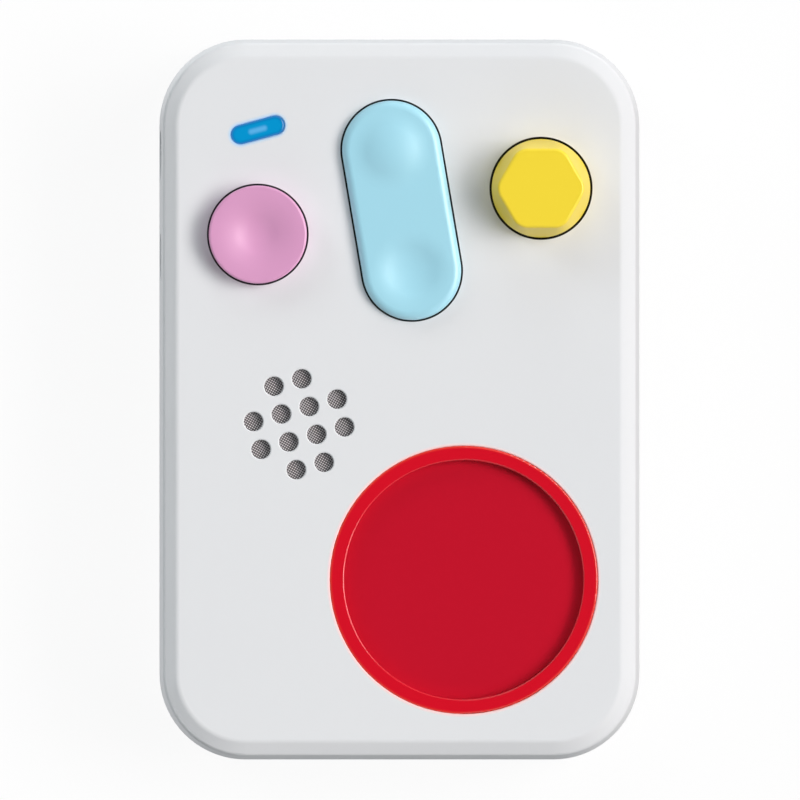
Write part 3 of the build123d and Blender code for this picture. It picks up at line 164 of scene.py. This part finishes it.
def mouldedPlastic(name, look):
    # injection-moulded plastic: the etched grain of its tool softens the highlights, and the colour
    # drifts by a shade over a few centimetres
    material, tree, shader, place = newFinish(name, look)
    drift = addNode(tree, "ShaderNodeTexNoise", {"Scale": 1 / (moulding["driftMm"] * mm), "Detail": 2,
                                                 "Vector": place})
    tint = addNode(tree, "ShaderNodeMix", {"data_type": "RGBA", 0: drift.outputs["Fac"],
                                           6: hexLinear(look["colour"]), 7: hexLinear(look["drift"])})
    if "low" in look:
        # what lies lower has another colour: on the caps a painted shade, near black, for the bottom of the slot
        # in full shadow; on the tray the darker red of its sunk floor
        above = heightRamp(tree, place, *look["lowerShadeAndToneTopMm"])
        tint = addNode(tree, "ShaderNodeMix", {"data_type": "RGBA", 0: above,
                                               6: hexLinear(look["low"]), 7: tint.outputs[2]})
    if "lip" in look:
        # painted highlight: the thin outer lip is tinted a lighter orange, as if its rounded edge caught the light
        inside, outside = (radius - trayRadius for radius in look["lipInMm"])
        out = addNode(tree, "ShaderNodeMapRange", {"interpolation_type": "SMOOTHSTEP", "From Min": inside * mm,
                                                   "From Max": outside * mm,
                                                   "Value": ovalDistance(tree, place, *tray)})
        tint = addNode(tree, "ShaderNodeMix", {"data_type": "RGBA", 0: out.outputs["Result"],
                                               6: tint.outputs[2], 7: hexLinear(look["lip"])})
    if "paintedGapShade" in look:
        # painted shade: a thin near-black ring on the face round each control's hole, standing in for the shadow
        # down its gap
        clear = addNode(tree, "ShaderNodeMapRange", {"From Min": look["paintedGapShadeMm"] * mm,
                                                     "From Max": (look["paintedGapShadeMm"] + moulding["paintedGapShadeFadeMm"]) * mm,
                                                     "Value": paintedGapShadeDistance(tree, place)})
        tint = addNode(tree, "ShaderNodeMix", {"data_type": "RGBA", 0: clear.outputs["Result"],
                                               6: hexLinear(look["paintedGapShade"]), 7: tint.outputs[2]})
        onFace = heightRamp(tree, place, *look["paintedLightTopMm"])
        # painted light: beside its window the white plastic is tinted blue as if lit by the lamp, and beside the
        # tray pink as if lit by red light off the tray
        for hole, shade, reach in ((window, look["halo"], look["haloMm"]), (tray, look["paintedRedBounce"], look["paintedRedBounceMm"])):
            near = addNode(tree, "ShaderNodeMapRange", {"interpolation_type": "SMOOTHSTEP", "From Max": reach * mm,
                                                        "To Min": 1, "To Max": 0,
                                                        "Value": ovalDistance(tree, place, *hole)})
            share = addNode(tree, "ShaderNodeMath", {"operation": "MULTIPLY", 0: onFace,
                                                     1: near.outputs["Result"]})
            tint = addNode(tree, "ShaderNodeMix", {"data_type": "RGBA", 0: share.outputs["Value"],
                                                   6: tint.outputs[2], 7: hexLinear(shade)})
    tree.links.new(tint.outputs[2], shader.inputs["Base Color"])
    grain = addNode(tree, "ShaderNodeTexNoise", {"Scale": 1 / (look["grainMm"] * mm), "Detail": 3,
                                                 "Roughness": 0.6, "Vector": place})
    bump = addNode(tree, "ShaderNodeBump", {"Distance": look["grainDepthMm"] * mm,
                                            "Height": grain.outputs["Fac"]})
    tree.links.new(bump.outputs["Normal"], shader.inputs["Normal"])
    gloss = addNode(tree, "ShaderNodeMapRange", {"To Min": look["roughness"] - moulding["glossStray"],
                                                 "To Max": look["roughness"] + moulding["glossStray"],
                                                 "Value": grain.outputs["Fac"]})
    tree.links.new(gloss.outputs["Result"], shader.inputs["Roughness"])
    return material


print("rubber, foam, cloth and paper")

# moulded rubber, blown foam, moulded silicone and pressed paper scatter the light; extruded and shrunk
# skins are smoother and shine a little
footLook = {"colour": "#4B4D4F", "roughness": 0.8, "poreMm": 0.35, "poreDepthMm": 0.03}
foamLook = {"colour": "#1D1D1F", "roughness": 0.95, "poreMm": 0.5, "poreDepthMm": 0.12}
leadLook = {"colour": "#2A2A2C", "roughness": 0.5, "poreMm": 0.8, "poreDepthMm": 0.01}
sleeveLook = {"colour": "#2F6FB0", "roughness": 0.3, "poreMm": 6, "poreDepthMm": 0.05}
domeLook = {"colour": "#C9CCCE", "roughness": 0.45, "poreMm": 0.5, "poreDepthMm": 0.01, "clear": 0.5}
coneLook = {"colour": "#2B2A29", "roughness": 0.9, "poreMm": 0.4, "poreDepthMm": 0.04}
# painted shade in a pore's bottom and painted highlight on its rim
paintedPoreShade = (0.85, 1.1)  # how bright a pore's bottom and its rim are


def porousSkin(name, look):
    # rubber, foam, sleeve or paper: soft pits that scatter the light, with painted shade in their bottoms and a
    # painted highlight on their rims
    material, tree, shader, place = newFinish(name, look)
    pores = addNode(tree, "ShaderNodeTexVoronoi", {"Scale": 1 / (look["poreMm"] * mm), "Vector": place})
    depth = addNode(tree, "ShaderNodeMapRange", {"To Min": paintedPoreShade[0], "To Max": paintedPoreShade[1],
                                                 "Value": pores.outputs["Distance"]})
    tone = addNode(tree, "ShaderNodeHueSaturation", {"Color": hexLinear(look["colour"]),
                                                     "Value": depth.outputs["Result"]})
    tree.links.new(tone.outputs["Color"], shader.inputs["Base Color"])
    bump = addNode(tree, "ShaderNodeBump", {"Distance": look["poreDepthMm"] * mm,
                                            "Height": pores.outputs["Distance"]})
    tree.links.new(bump.outputs["Normal"], shader.inputs["Normal"])
    shader.inputs["Transmission Weight"].default_value = look.get("clear", 0)
    return material


# the between colour is painted shade in the holes between the threads
clothLook = {"colour": "#F0EBEC", "between": "#3E393B", "roughness": 0.8,
             "threadMm": 0.55, "liftMm": 0.05, "turn": 30}


def wovenMesh(name, look):
    # plain-woven acoustic mesh: round threads over and under each other; the colour follows the weave's height, so
    # the holes between the threads carry a painted shade and the crossings are painted lightest.
    # The real threads are 0.1 mm apart, drawn coarser so that the weave shows
    material, tree, shader, place = newFinish(name, look)
    turned = addNode(tree, "ShaderNodeMapping", {"Rotation": (0, 0, math.radians(look["turn"])), "Vector": place})
    bandScale = math.pi / 10 / (look["threadMm"] * mm)  # a wave texture of scale 1 repeats every tenth of pi
    threads = [addNode(tree, "ShaderNodeTexWave", {"bands_direction": way, "Scale": bandScale,
                                                   "Vector": turned.outputs["Vector"]}).outputs["Fac"]
               for way in ("X", "Y")]
    height = addNode(tree, "ShaderNodeMath", {"operation": "MULTIPLY", 0: threads[0],
                                              1: threads[1]}).outputs["Value"]
    tint = addNode(tree, "ShaderNodeMix", {"data_type": "RGBA", 0: height,
                                           6: hexLinear(look["between"]), 7: hexLinear(look["colour"])})
    tree.links.new(tint.outputs[2], shader.inputs["Base Color"])
    bump = addNode(tree, "ShaderNodeBump", {"Distance": look["liftMm"] * mm, "Height": height})
    tree.links.new(bump.outputs["Normal"], shader.inputs["Normal"])
    return material


print("metals")

# zinc-plated, ground, drawn, turned and stamped steel, drawn aluminium and etched copper: the finer the
# work, the sharper the highlight; the sintered ferrite and the dipped basket stay dull
screwLook = {"colour": "#A9ABAD", "metallic": 1, "roughness": 0.32, "scratchMm": 0.3}
pinLook = {"colour": "#B9BBBD", "metallic": 1, "roughness": 0.2, "scratchMm": 0.2}
drawnSteelLook = {"colour": "#C0C2C3", "metallic": 1, "roughness": 0.26, "scratchMm": 0.25}
shaftLook = {"colour": "#B4B6B8", "metallic": 1, "roughness": 0.3, "scratchMm": 0.15}
encoderLook = {"colour": "#8F9193", "metallic": 1, "roughness": 0.4, "scratchMm": 0.3}
canLook = {"colour": "#C4C6C8", "metallic": 1, "roughness": 0.28, "scratchMm": 0.2}
copperLook = {"colour": "#B87848", "metallic": 1, "roughness": 0.35, "scratchMm": 0.3}
magnetLook = {"colour": "#5A5856", "metallic": 0.9, "roughness": 0.5, "scratchMm": 0.4}
basketLook = {"colour": "#3A3B3D", "metallic": 0, "roughness": 0.42, "scratchMm": 0.5}
# what all the metals share: how much a scratch is squeezed along Z, how far the gloss strays, and the relief
working = {"squeeze": 0.08, "glossStray": 0.1, "reliefStrength": 0.6, "reliefMm": 0.01}


def workedMetal(name, look):
    # plated, drawn or turned metal: fine stretched scratches that widen the highlight one way
    material, tree, shader, place = newFinish(name, look)
    drawn = addNode(tree, "ShaderNodeMapping", {"Scale": (1, 1, working["squeeze"]), "Vector": place})
    scratches = addNode(tree, "ShaderNodeTexNoise", {"Scale": 1 / (look["scratchMm"] * mm), "Detail": 4,
                                                     "Vector": drawn.outputs["Vector"]})
    gloss = addNode(tree, "ShaderNodeMapRange", {"To Min": look["roughness"] - working["glossStray"],
                                                 "To Max": look["roughness"] + working["glossStray"],
                                                 "Value": scratches.outputs["Fac"]})
    tree.links.new(gloss.outputs["Result"], shader.inputs["Roughness"])
    bump = addNode(tree, "ShaderNodeBump", {"Strength": working["reliefStrength"],
                                            "Distance": working["reliefMm"] * mm,
                                            "Height": scratches.outputs["Fac"]})
    tree.links.new(bump.outputs["Normal"], shader.inputs["Normal"])
    return material


print("circuit boards")

boardLook = {"colour": "#1E5A38", "track": "#2C7448", "roughness": 0.3, "trackMm": 1.1, "cellTracks": 6,
             "ringShare": 0.08, "ringEdge": (0.03, 0.05), "trackLiftMm": 0.03}


def solderMask(name, look):
    # glass laminate under printed green solder mask: tracks show as paler raised bands under the lacquer
    material, tree, shader, place = newFinish(name, look)
    cellMm = look["cellTracks"] * look["trackMm"]
    cells = addNode(tree, "ShaderNodeTexVoronoi", {"distance": "MANHATTAN", "Scale": 1 / (cellMm * mm),
                                                   "Vector": place})
    rings = addNode(tree, "ShaderNodeMath", {"operation": "PINGPONG", 0: cells.outputs["Distance"],
                                             1: look["ringShare"]})
    inner, outer = look["ringEdge"]
    tracks = addNode(tree, "ShaderNodeMapRange", {"From Min": inner, "From Max": outer,
                                                  "Value": rings.outputs["Value"]})
    tint = addNode(tree, "ShaderNodeMix", {"data_type": "RGBA", 0: tracks.outputs["Result"],
                                           6: hexLinear(look["colour"]), 7: hexLinear(look["track"])})
    tree.links.new(tint.outputs[2], shader.inputs["Base Color"])
    bump = addNode(tree, "ShaderNodeBump", {"Distance": look["trackLiftMm"] * mm,
                                            "Height": tracks.outputs["Result"]})
    tree.links.new(bump.outputs["Normal"], shader.inputs["Normal"])
    return material


print("status light")

# polished polycarbonate: its gloss hardly shows over its own glow
lensLook = {"colour": "#000810", "roughness": 0.18, "ior": 1.5, "turn": 15.3, "halfMm": (6.87, 2.41),
            "edge": "#0070B4", "edgeMm": 1.2, "glow": "#0093CE",
            "core": "#5AB0E6", "coreHalfMm": (2.15, 0.45), "coreFadeMm": (-0.35, 0.65)}
ledLook = {"colour": "#EAF0F4", "roughness": 0.3, "glow": "#6FC0FF", "strength": 3,
           "cloudMm": 1.5, "cloudShare": 0.2}


def litLens(name, look):
    # clear blue polycarbonate, lit from behind: a paler bar over the lamp, an even blue round it, and a
    # deeper one at the rim
    material, tree, shader, place = newFinish(name, look)
    low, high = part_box("status_led")
    centre = (low + high) / 2
    spot = (centre.x / mm, centre.y / mm, look["turn"] - 90)
    length, width = look["halfMm"]
    rim = addNode(tree, "ShaderNodeMapRange", {"interpolation_type": "SMOOTHSTEP",
                                               "From Min": -look["edgeMm"] * mm, "From Max": 0,
                                               "Value": ovalDistance(tree, place, *spot, length - width, width)})
    length, width = look["coreHalfMm"]
    inner, outer = look["coreFadeMm"]
    core = addNode(tree, "ShaderNodeMapRange", {"interpolation_type": "SMOOTHSTEP", "From Min": inner * mm,
                                                "From Max": outer * mm, "To Min": 1, "To Max": 0,
                                                "Value": ovalDistance(tree, place, *spot, length - width, width)})
    glow = addNode(tree, "ShaderNodeMix", {"data_type": "RGBA", 0: core.outputs["Result"],
                                           6: hexLinear(look["glow"]), 7: hexLinear(look["core"])})
    glow = addNode(tree, "ShaderNodeMix", {"data_type": "RGBA", 0: rim.outputs["Result"],
                                           6: glow.outputs[2], 7: hexLinear(look["edge"])})
    tree.links.new(glow.outputs[2], shader.inputs["Emission Color"])
    shader.inputs["Emission Strength"].default_value = 1
    return material


def litLed(name, look):
    # cast water-clear epoxy over the chip, glowing a cloudy blue
    material, tree, shader, place = newFinish(name, look)
    cloud = addNode(tree, "ShaderNodeTexNoise", {"Scale": 1 / (look["cloudMm"] * mm), "Vector": place})
    level = addNode(tree, "ShaderNodeMapRange", {"To Min": look["strength"] * (1 - look["cloudShare"]),
                                                 "To Max": look["strength"] * (1 + look["cloudShare"]),
                                                 "Value": cloud.outputs["Fac"]})
    shader.inputs["Emission Color"].default_value = hexLinear(look["glow"])
    tree.links.new(level.outputs["Result"], shader.inputs["Emission Strength"])
    return material


# every piece and its finish
finishes = {
    mouldedPlastic("etchedAbsWhite", shellLook): ["front_shell"],
    mouldedPlastic("etchedAbsWhiteBack", backLook): ["back_shell"],
    mouldedPlastic("satinAbsRed", trayLook): ["tag_tray"],
    mouldedPlastic("satinAbsPink", playLook): ["play_button"],
    mouldedPlastic("satinAbsBlue", rockerLook): ["skip_rocker"],
    mouldedPlastic("satinAbsYellow", knobLook): ["volume_knob"],
    mouldedPlastic("mouldedAcetalGrey", sliderLook): ["power_slider"],
    mouldedPlastic("mouldedNylonBlack", nylonLook): ["rocker_frame", "speaker_clamp", "battery_clamp",
                                                     "usb_tongue", "power_switch"],
    mouldedPlastic("mouldedNylonNatural", headerLook): ["board_headers"],
    mouldedPlastic("mouldedEpoxyBlack", chipLook): ["processor_chip"],
    porousSkin("mouldedRubber", footLook): ["rubber_feet"],
    porousSkin("blownFoamBlack", foamLook): ["speaker_gasket", "battery_pad"],
    porousSkin("extrudedPvcBlack", leadLook): ["battery_lead", "speaker_lead", "antenna_lead"],
    porousSkin("shrunkPvcBlue", sleeveLook): ["battery_cell"],
    porousSkin("mouldedSiliconeClear", domeLook): ["play_dome", "rocker_domes"],
    porousSkin("pressedPaper", coneLook): ["speaker_cone"],
    wovenMesh("wovenPolyesterMesh", clothLook): ["speaker_cloth"],
    workedMetal("zincPlatedSteel", screwLook): ["case_screws", "board_screws", "rocker_frame_screws",
                                                "speaker_clamp_screws", "battery_clamp_screws"],
    workedMetal("groundSteel", pinLook): ["rocker_pin"],
    workedMetal("drawnStainlessSteel", drawnSteelLook): ["usb_socket", "card_socket"],
    workedMetal("turnedSteel", shaftLook): ["encoder_shaft"],
    workedMetal("stampedSteel", encoderLook): ["encoder_body"],
    workedMetal("drawnAluminium", canLook): ["capacitors"],
    workedMetal("etchedCopper", copperLook): ["antenna_coil"],
    workedMetal("sinteredFerrite", magnetLook): ["speaker_magnet"],
    workedMetal("dippedSteelBlack", basketLook): ["speaker_basket"],
    solderMask("printedSolderMaskGreen", boardLook): ["main_board", "antenna_board"],
    litLens("polishedPolycarbonateBlue", lensLook): ["status_lens"],
    litLed("castEpoxyClear", ledLook): ["status_led"],
}
for material, names in finishes.items():
    for name in names:
        nodes[name].data.materials.clear()
        nodes[name].data.materials.append(material)

print("screws")

screwShape = {
    "headRadiusMm": 2.6, "headHeightMm": 1.6, "shankRadiusMm": 1.25,
    "recessWidth": 0.2, "recessReach": 0.62, "recessDepth": 0.62,  # the cross, as shares of the head
    "wallSlope": 0.6, "endSlope": 0.25,  # how gently the cross's walls and ends run out
    "rimDrop": 0.35, "rimPower": 6,  # how far and how late the head rounds off to its edge
    "pitchMm": 1.1, "threadDepth": 0.2, "runIn": 12,  # the thread is at full depth after 1 / 12 of the shank
    "taperFrom": 0.9, "taper": 4,  # the shank's last tenth comes to a blunt point
    "around": 60, "rings": 16, "threadSteps": 60,
    "apartMm": 6.5,  # corners closer than this are one screw's
}


def clusters(node, spread):
    # the middles of a node's separate solids, told apart by how far their corners lie from one another
    found = []
    for vertex in node.data.vertices:
        near = next((group for group in found if math.dist(group[0].xy, vertex.co.xy) < spread), None)
        if near:
            near.append(vertex.co)
        else:
            found.append([vertex.co])
    return [[(min(values) + max(values)) / 2 for values in zip(*(corner.xy for corner in group))]
            for group in found]


def screwLoops(look, turns, low, high):
    # one screw with its head down, from the recess to the tip: loops of a radius in mm and a height in metres
    headRadius, shankRadius = look["headRadiusMm"], look["shankRadiusMm"]
    seat = low + look["headHeightMm"] * mm
    loops = []
    for ring in range(1, look["rings"] + 1):
        share = ring / look["rings"]
        radius = headRadius * share
        loops.append([])
        for turn in turns:
            # how far a spot lies from the nearer arm's middle line, and how far along that arm
            across, along = sorted((abs(radius * math.cos(turn)), abs(radius * math.sin(turn))))
            wall = 1 + look["wallSlope"] - across / (look["recessWidth"] * headRadius)
            wall = min(1, max(0, wall) / look["wallSlope"])
            end = min(1, max(0, 1 - along / (look["recessReach"] * headRadius)) / look["endSlope"])
            lift = look["recessDepth"] * wall * end + look["rimDrop"] * share ** look["rimPower"]
            loops[-1].append((radius, low + look["headHeightMm"] * lift * mm))
    loops += [[(radius, seat)] * len(turns) for radius in (headRadius, shankRadius)]
    for level in range(1, look["threadSteps"] + 1):
        share = level / look["threadSteps"]
        height = seat + share * (high - seat)
        taper = 1 - look["taper"] * max(0, share - look["taperFrom"])
        loops.append([])
        for step in range(len(turns)):
            phase = ((height - seat) / mm / look["pitchMm"] - step / len(turns)) % 1
            cut = look["threadDepth"] * (1 - abs(2 * phase - 1)) * min(1, look["runIn"] * share)
            loops[-1].append((shankRadius * (1 - cut) * taper, height))
    return loops


def drivenScrews(name, node, look):
    # pan-head screws: a cross recess with sloping walls in the head, and a cut thread on the shank
    low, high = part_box(node)
    turns = [2 * math.pi * step / look["around"] for step in range(look["around"])]
    loops = screwLoops(look, turns, low.z, high.z)
    mesh = bmesh.new()
    for x, y in clusters(nodes[node], look["apartMm"] * mm):
        rows = [[mesh.verts.new((x + radius * math.cos(turn) * mm, y + radius * math.sin(turn) * mm, height))
                 for turn, (radius, height) in zip(turns, loop)] for loop in loops]
        middle = mesh.verts.new((x, y, low.z + look["headHeightMm"] * look["recessDepth"] * mm))
        tip = mesh.verts.new((x, y, high.z))
        for step in range(look["around"]):
            following = (step + 1) % look["around"]
            mesh.faces.new((middle, rows[0][following], rows[0][step]))
            mesh.faces.new((tip, rows[-1][step], rows[-1][following]))
            for inner, outer in zip(rows, rows[1:]):
                mesh.faces.new((inner[step], inner[following], outer[following], outer[step]))
    bmesh.ops.recalc_face_normals(mesh, faces=mesh.faces)
    data = bpy.data.meshes.new(name)
    mesh.to_mesh(data)
    mesh.free()
    data.shade_smooth()
    piece = bpy.data.objects.new(name, data)
    bpy.context.scene.collection.objects.link(piece)
    piece.data.materials.append(nodes[node].data.materials[0])
    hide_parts(node)
    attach(piece, "case")


drivenScrews("caseScrewsDriven", "case_screws", screwShape)

print("studio")

# each lamp: its azimuth from the right-hand side and its elevation, in degrees, and how much light it gives
# to a white face that lies flat
studio = {
    "floorSize": 6.0,
    "floorColour": "#F4F4F4",
    "floorMottle": "#FAFAFA",
    "mottleScale": 3,
    "floorBounce": "#5E6062",  # what the floor throws back at the player's sides
    "floorShown": 0.91,  # share of the floor that shows as plain white; the rest takes the player's shadow
    "softness": 24,  # how many degrees across each lamp looks
    "warmth": {"keys": (1.035, 1, 0.985), "lowFills": (0.94, 1, 1.02), "highFills": (0.955, 1, 1.02),
               "below": (1, 1, 1)},
    "keys": ((5, 38, 0.235), (25, 38, 0.16), (-15, 38, 0.16)),
    "lowFills": ((90, 20, 0.05), (140, 20, 0.085), (235, 20, 0.015), (270, 20, 0.03)),
    "highFills": ((25, 58, 0.146), (135, 58, 0.045), (235, 58, 0.072)),
    # these reach what faces down or sideways, like light off a table
    "below": ((0, -66, 0.08), (90, -66, 0.1), (180, -66, 0.14), (270, -66, 0.28),
              (90, -20, 0.16), (180, -20, 0.09)),
    "mirroredHigh": 0.05,  # how bright gloss shows the dark ceiling; the walls under it are white
    "ceilingFrom": (20, 60),  # the elevations between which the walls turn into the ceiling, in degrees
}

floorMesh = bpy.data.meshes.new("studioFloor")
half = studio["floorSize"] / 2
corners = [(-half, -half, 0), (half, -half, 0), (half, half, 0), (-half, half, 0)]
floorMesh.from_pydata(corners, [], [(0, 1, 2, 3)])
floor = bpy.data.objects.new("studioFloor", floorMesh)
bpy.context.scene.collection.objects.link(floor)


def mirrorRays(tree, path):
    # 1 for what gloss or a clear piece shows, 0 for the rest
    either = addNode(tree, "ShaderNodeMath", {"operation": "MAXIMUM", 0: path.outputs["Is Glossy Ray"],
                                              1: path.outputs["Is Transmission Ray"]})
    return either.outputs["Value"]


def paintedFloor():
    # rolled matt white paint, faintly mottled, so the floor shows no edge; from below it isn't there, so that
    # the back can be looked at and the lamps below shine through it
    material = bpy.data.materials.new("rolledMattPaint")
    material.use_nodes = True
    tree = material.node_tree
    tree.nodes.clear()
    path = addNode(tree, "ShaderNodeLightPath")
    mottle = addNode(tree, "ShaderNodeTexNoise", {"Scale": studio["mottleScale"]})
    tint = addNode(tree, "ShaderNodeMix", {"data_type": "RGBA", 0: mottle.outputs["Fac"],
                                           6: hexLinear(studio["floorColour"]),
                                           7: hexLinear(studio["floorMottle"])})
    tint = addNode(tree, "ShaderNodeMix", {"data_type": "RGBA", 0: path.outputs["Is Camera Ray"],
                                           6: hexLinear(studio["floorBounce"]), 7: tint.outputs[2]})
    paint = addNode(tree, "ShaderNodeBsdfDiffuse", {"Color": tint.outputs[2]})
    white = addNode(tree, "ShaderNodeEmission", {"Color": (1, 1, 1, 1), "Strength": 1})
    seen = addNode(tree, "ShaderNodeMath", {"operation": "MAXIMUM", 0: path.outputs["Is Camera Ray"],
                                            1: mirrorRays(tree, path)})
    share = addNode(tree, "ShaderNodeMath", {"operation": "MULTIPLY", 0: seen.outputs["Value"],
                                             1: studio["floorShown"]})
    shown = addNode(tree, "ShaderNodeMixShader", {0: share.outputs["Value"], 1: paint.outputs["BSDF"],
                                                  2: white.outputs["Emission"]})
    side = addNode(tree, "ShaderNodeNewGeometry")
    through = addNode(tree, "ShaderNodeMath", {"operation": "MAXIMUM", 0: side.outputs["Backfacing"],
                                               1: path.outputs["Is Shadow Ray"]})
    clear = addNode(tree, "ShaderNodeBsdfTransparent")
    final = addNode(tree, "ShaderNodeMixShader", {0: through.outputs["Value"], 1: shown.outputs["Shader"],
                                                  2: clear.outputs["BSDF"]})
    addNode(tree, "ShaderNodeOutputMaterial", {"Surface": final.outputs["Shader"]})
    return material


floorMesh.materials.append(paintedFloor())

# the surroundings show as white but light nothing; gloss shows them as white walls under a dark ceiling
world = bpy.data.worlds.new("studioWorld")
bpy.context.scene.world = world
world.use_nodes = True
sky = world.node_tree
sky.nodes.clear()
way = addNode(sky, "ShaderNodeTexCoord").outputs["Generated"]
up = addNode(sky, "ShaderNodeSeparateXYZ", {"Vector": way}).outputs["Z"]
path = addNode(sky, "ShaderNodeLightPath")
wallTop, ceiling = (math.sin(math.radians(elevation)) for elevation in studio["ceilingFrom"])
surroundings = addNode(sky, "ShaderNodeMapRange", {"From Min": wallTop, "From Max": ceiling,
                                                   "To Min": 1, "To Max": studio["mirroredHigh"], "Value": up})
mirrored = addNode(sky, "ShaderNodeMath", {"operation": "MULTIPLY", 0: mirrorRays(sky, path),
                                           1: surroundings.outputs["Result"]})
seen = addNode(sky, "ShaderNodeMath", {"operation": "MAXIMUM", 0: mirrored.outputs["Value"],
                                       1: path.outputs["Is Camera Ray"]})
white = addNode(sky, "ShaderNodeBackground", {"Color": (1, 1, 1, 1), "Strength": seen.outputs["Value"]})
addNode(sky, "ShaderNodeOutputWorld", {"Surface": white.outputs["Background"]})


def softLamp(name, colour, azimuth, elevation, level):
    # a distant soft box
    lamp = bpy.data.lights.new(name, "SUN")
    lamp.angle = math.radians(studio["softness"])
    lamp.color = colour
    lamp.energy = level * math.pi / abs(math.sin(math.radians(elevation)))
    holder = bpy.data.objects.new(name, lamp)
    holder.rotation_euler = (0, math.radians(90 - elevation), math.radians(azimuth))
    bpy.context.scene.collection.objects.link(holder)
    return holder


for kind in ("keys", "lowFills", "highFills", "below"):
    for i, place in enumerate(studio[kind]):
        holder = softLamp(f"{kind}.{i + 1}", studio["warmth"][kind], *place)
        # the fills are as large as walls, so nothing glossy shows them as a glare
        holder.visible_glossy = kind == "keys"

# straight down on the face, with the player a hair off the middle
view = {"across": 200 * mm, "offset": (0.15 * mm, -0.125 * mm), "height": 1.0}
cameraData = bpy.data.cameras.new("camera")
cameraData.type = "ORTHO"
cameraData.ortho_scale = view["across"]
camera = bpy.data.objects.new("camera", cameraData)
camera.location = (*view["offset"], view["height"])
bpy.context.scene.collection.objects.link(camera)
bpy.context.scene.camera = camera

bpy.context.scene.view_settings.view_transform = "Standard"
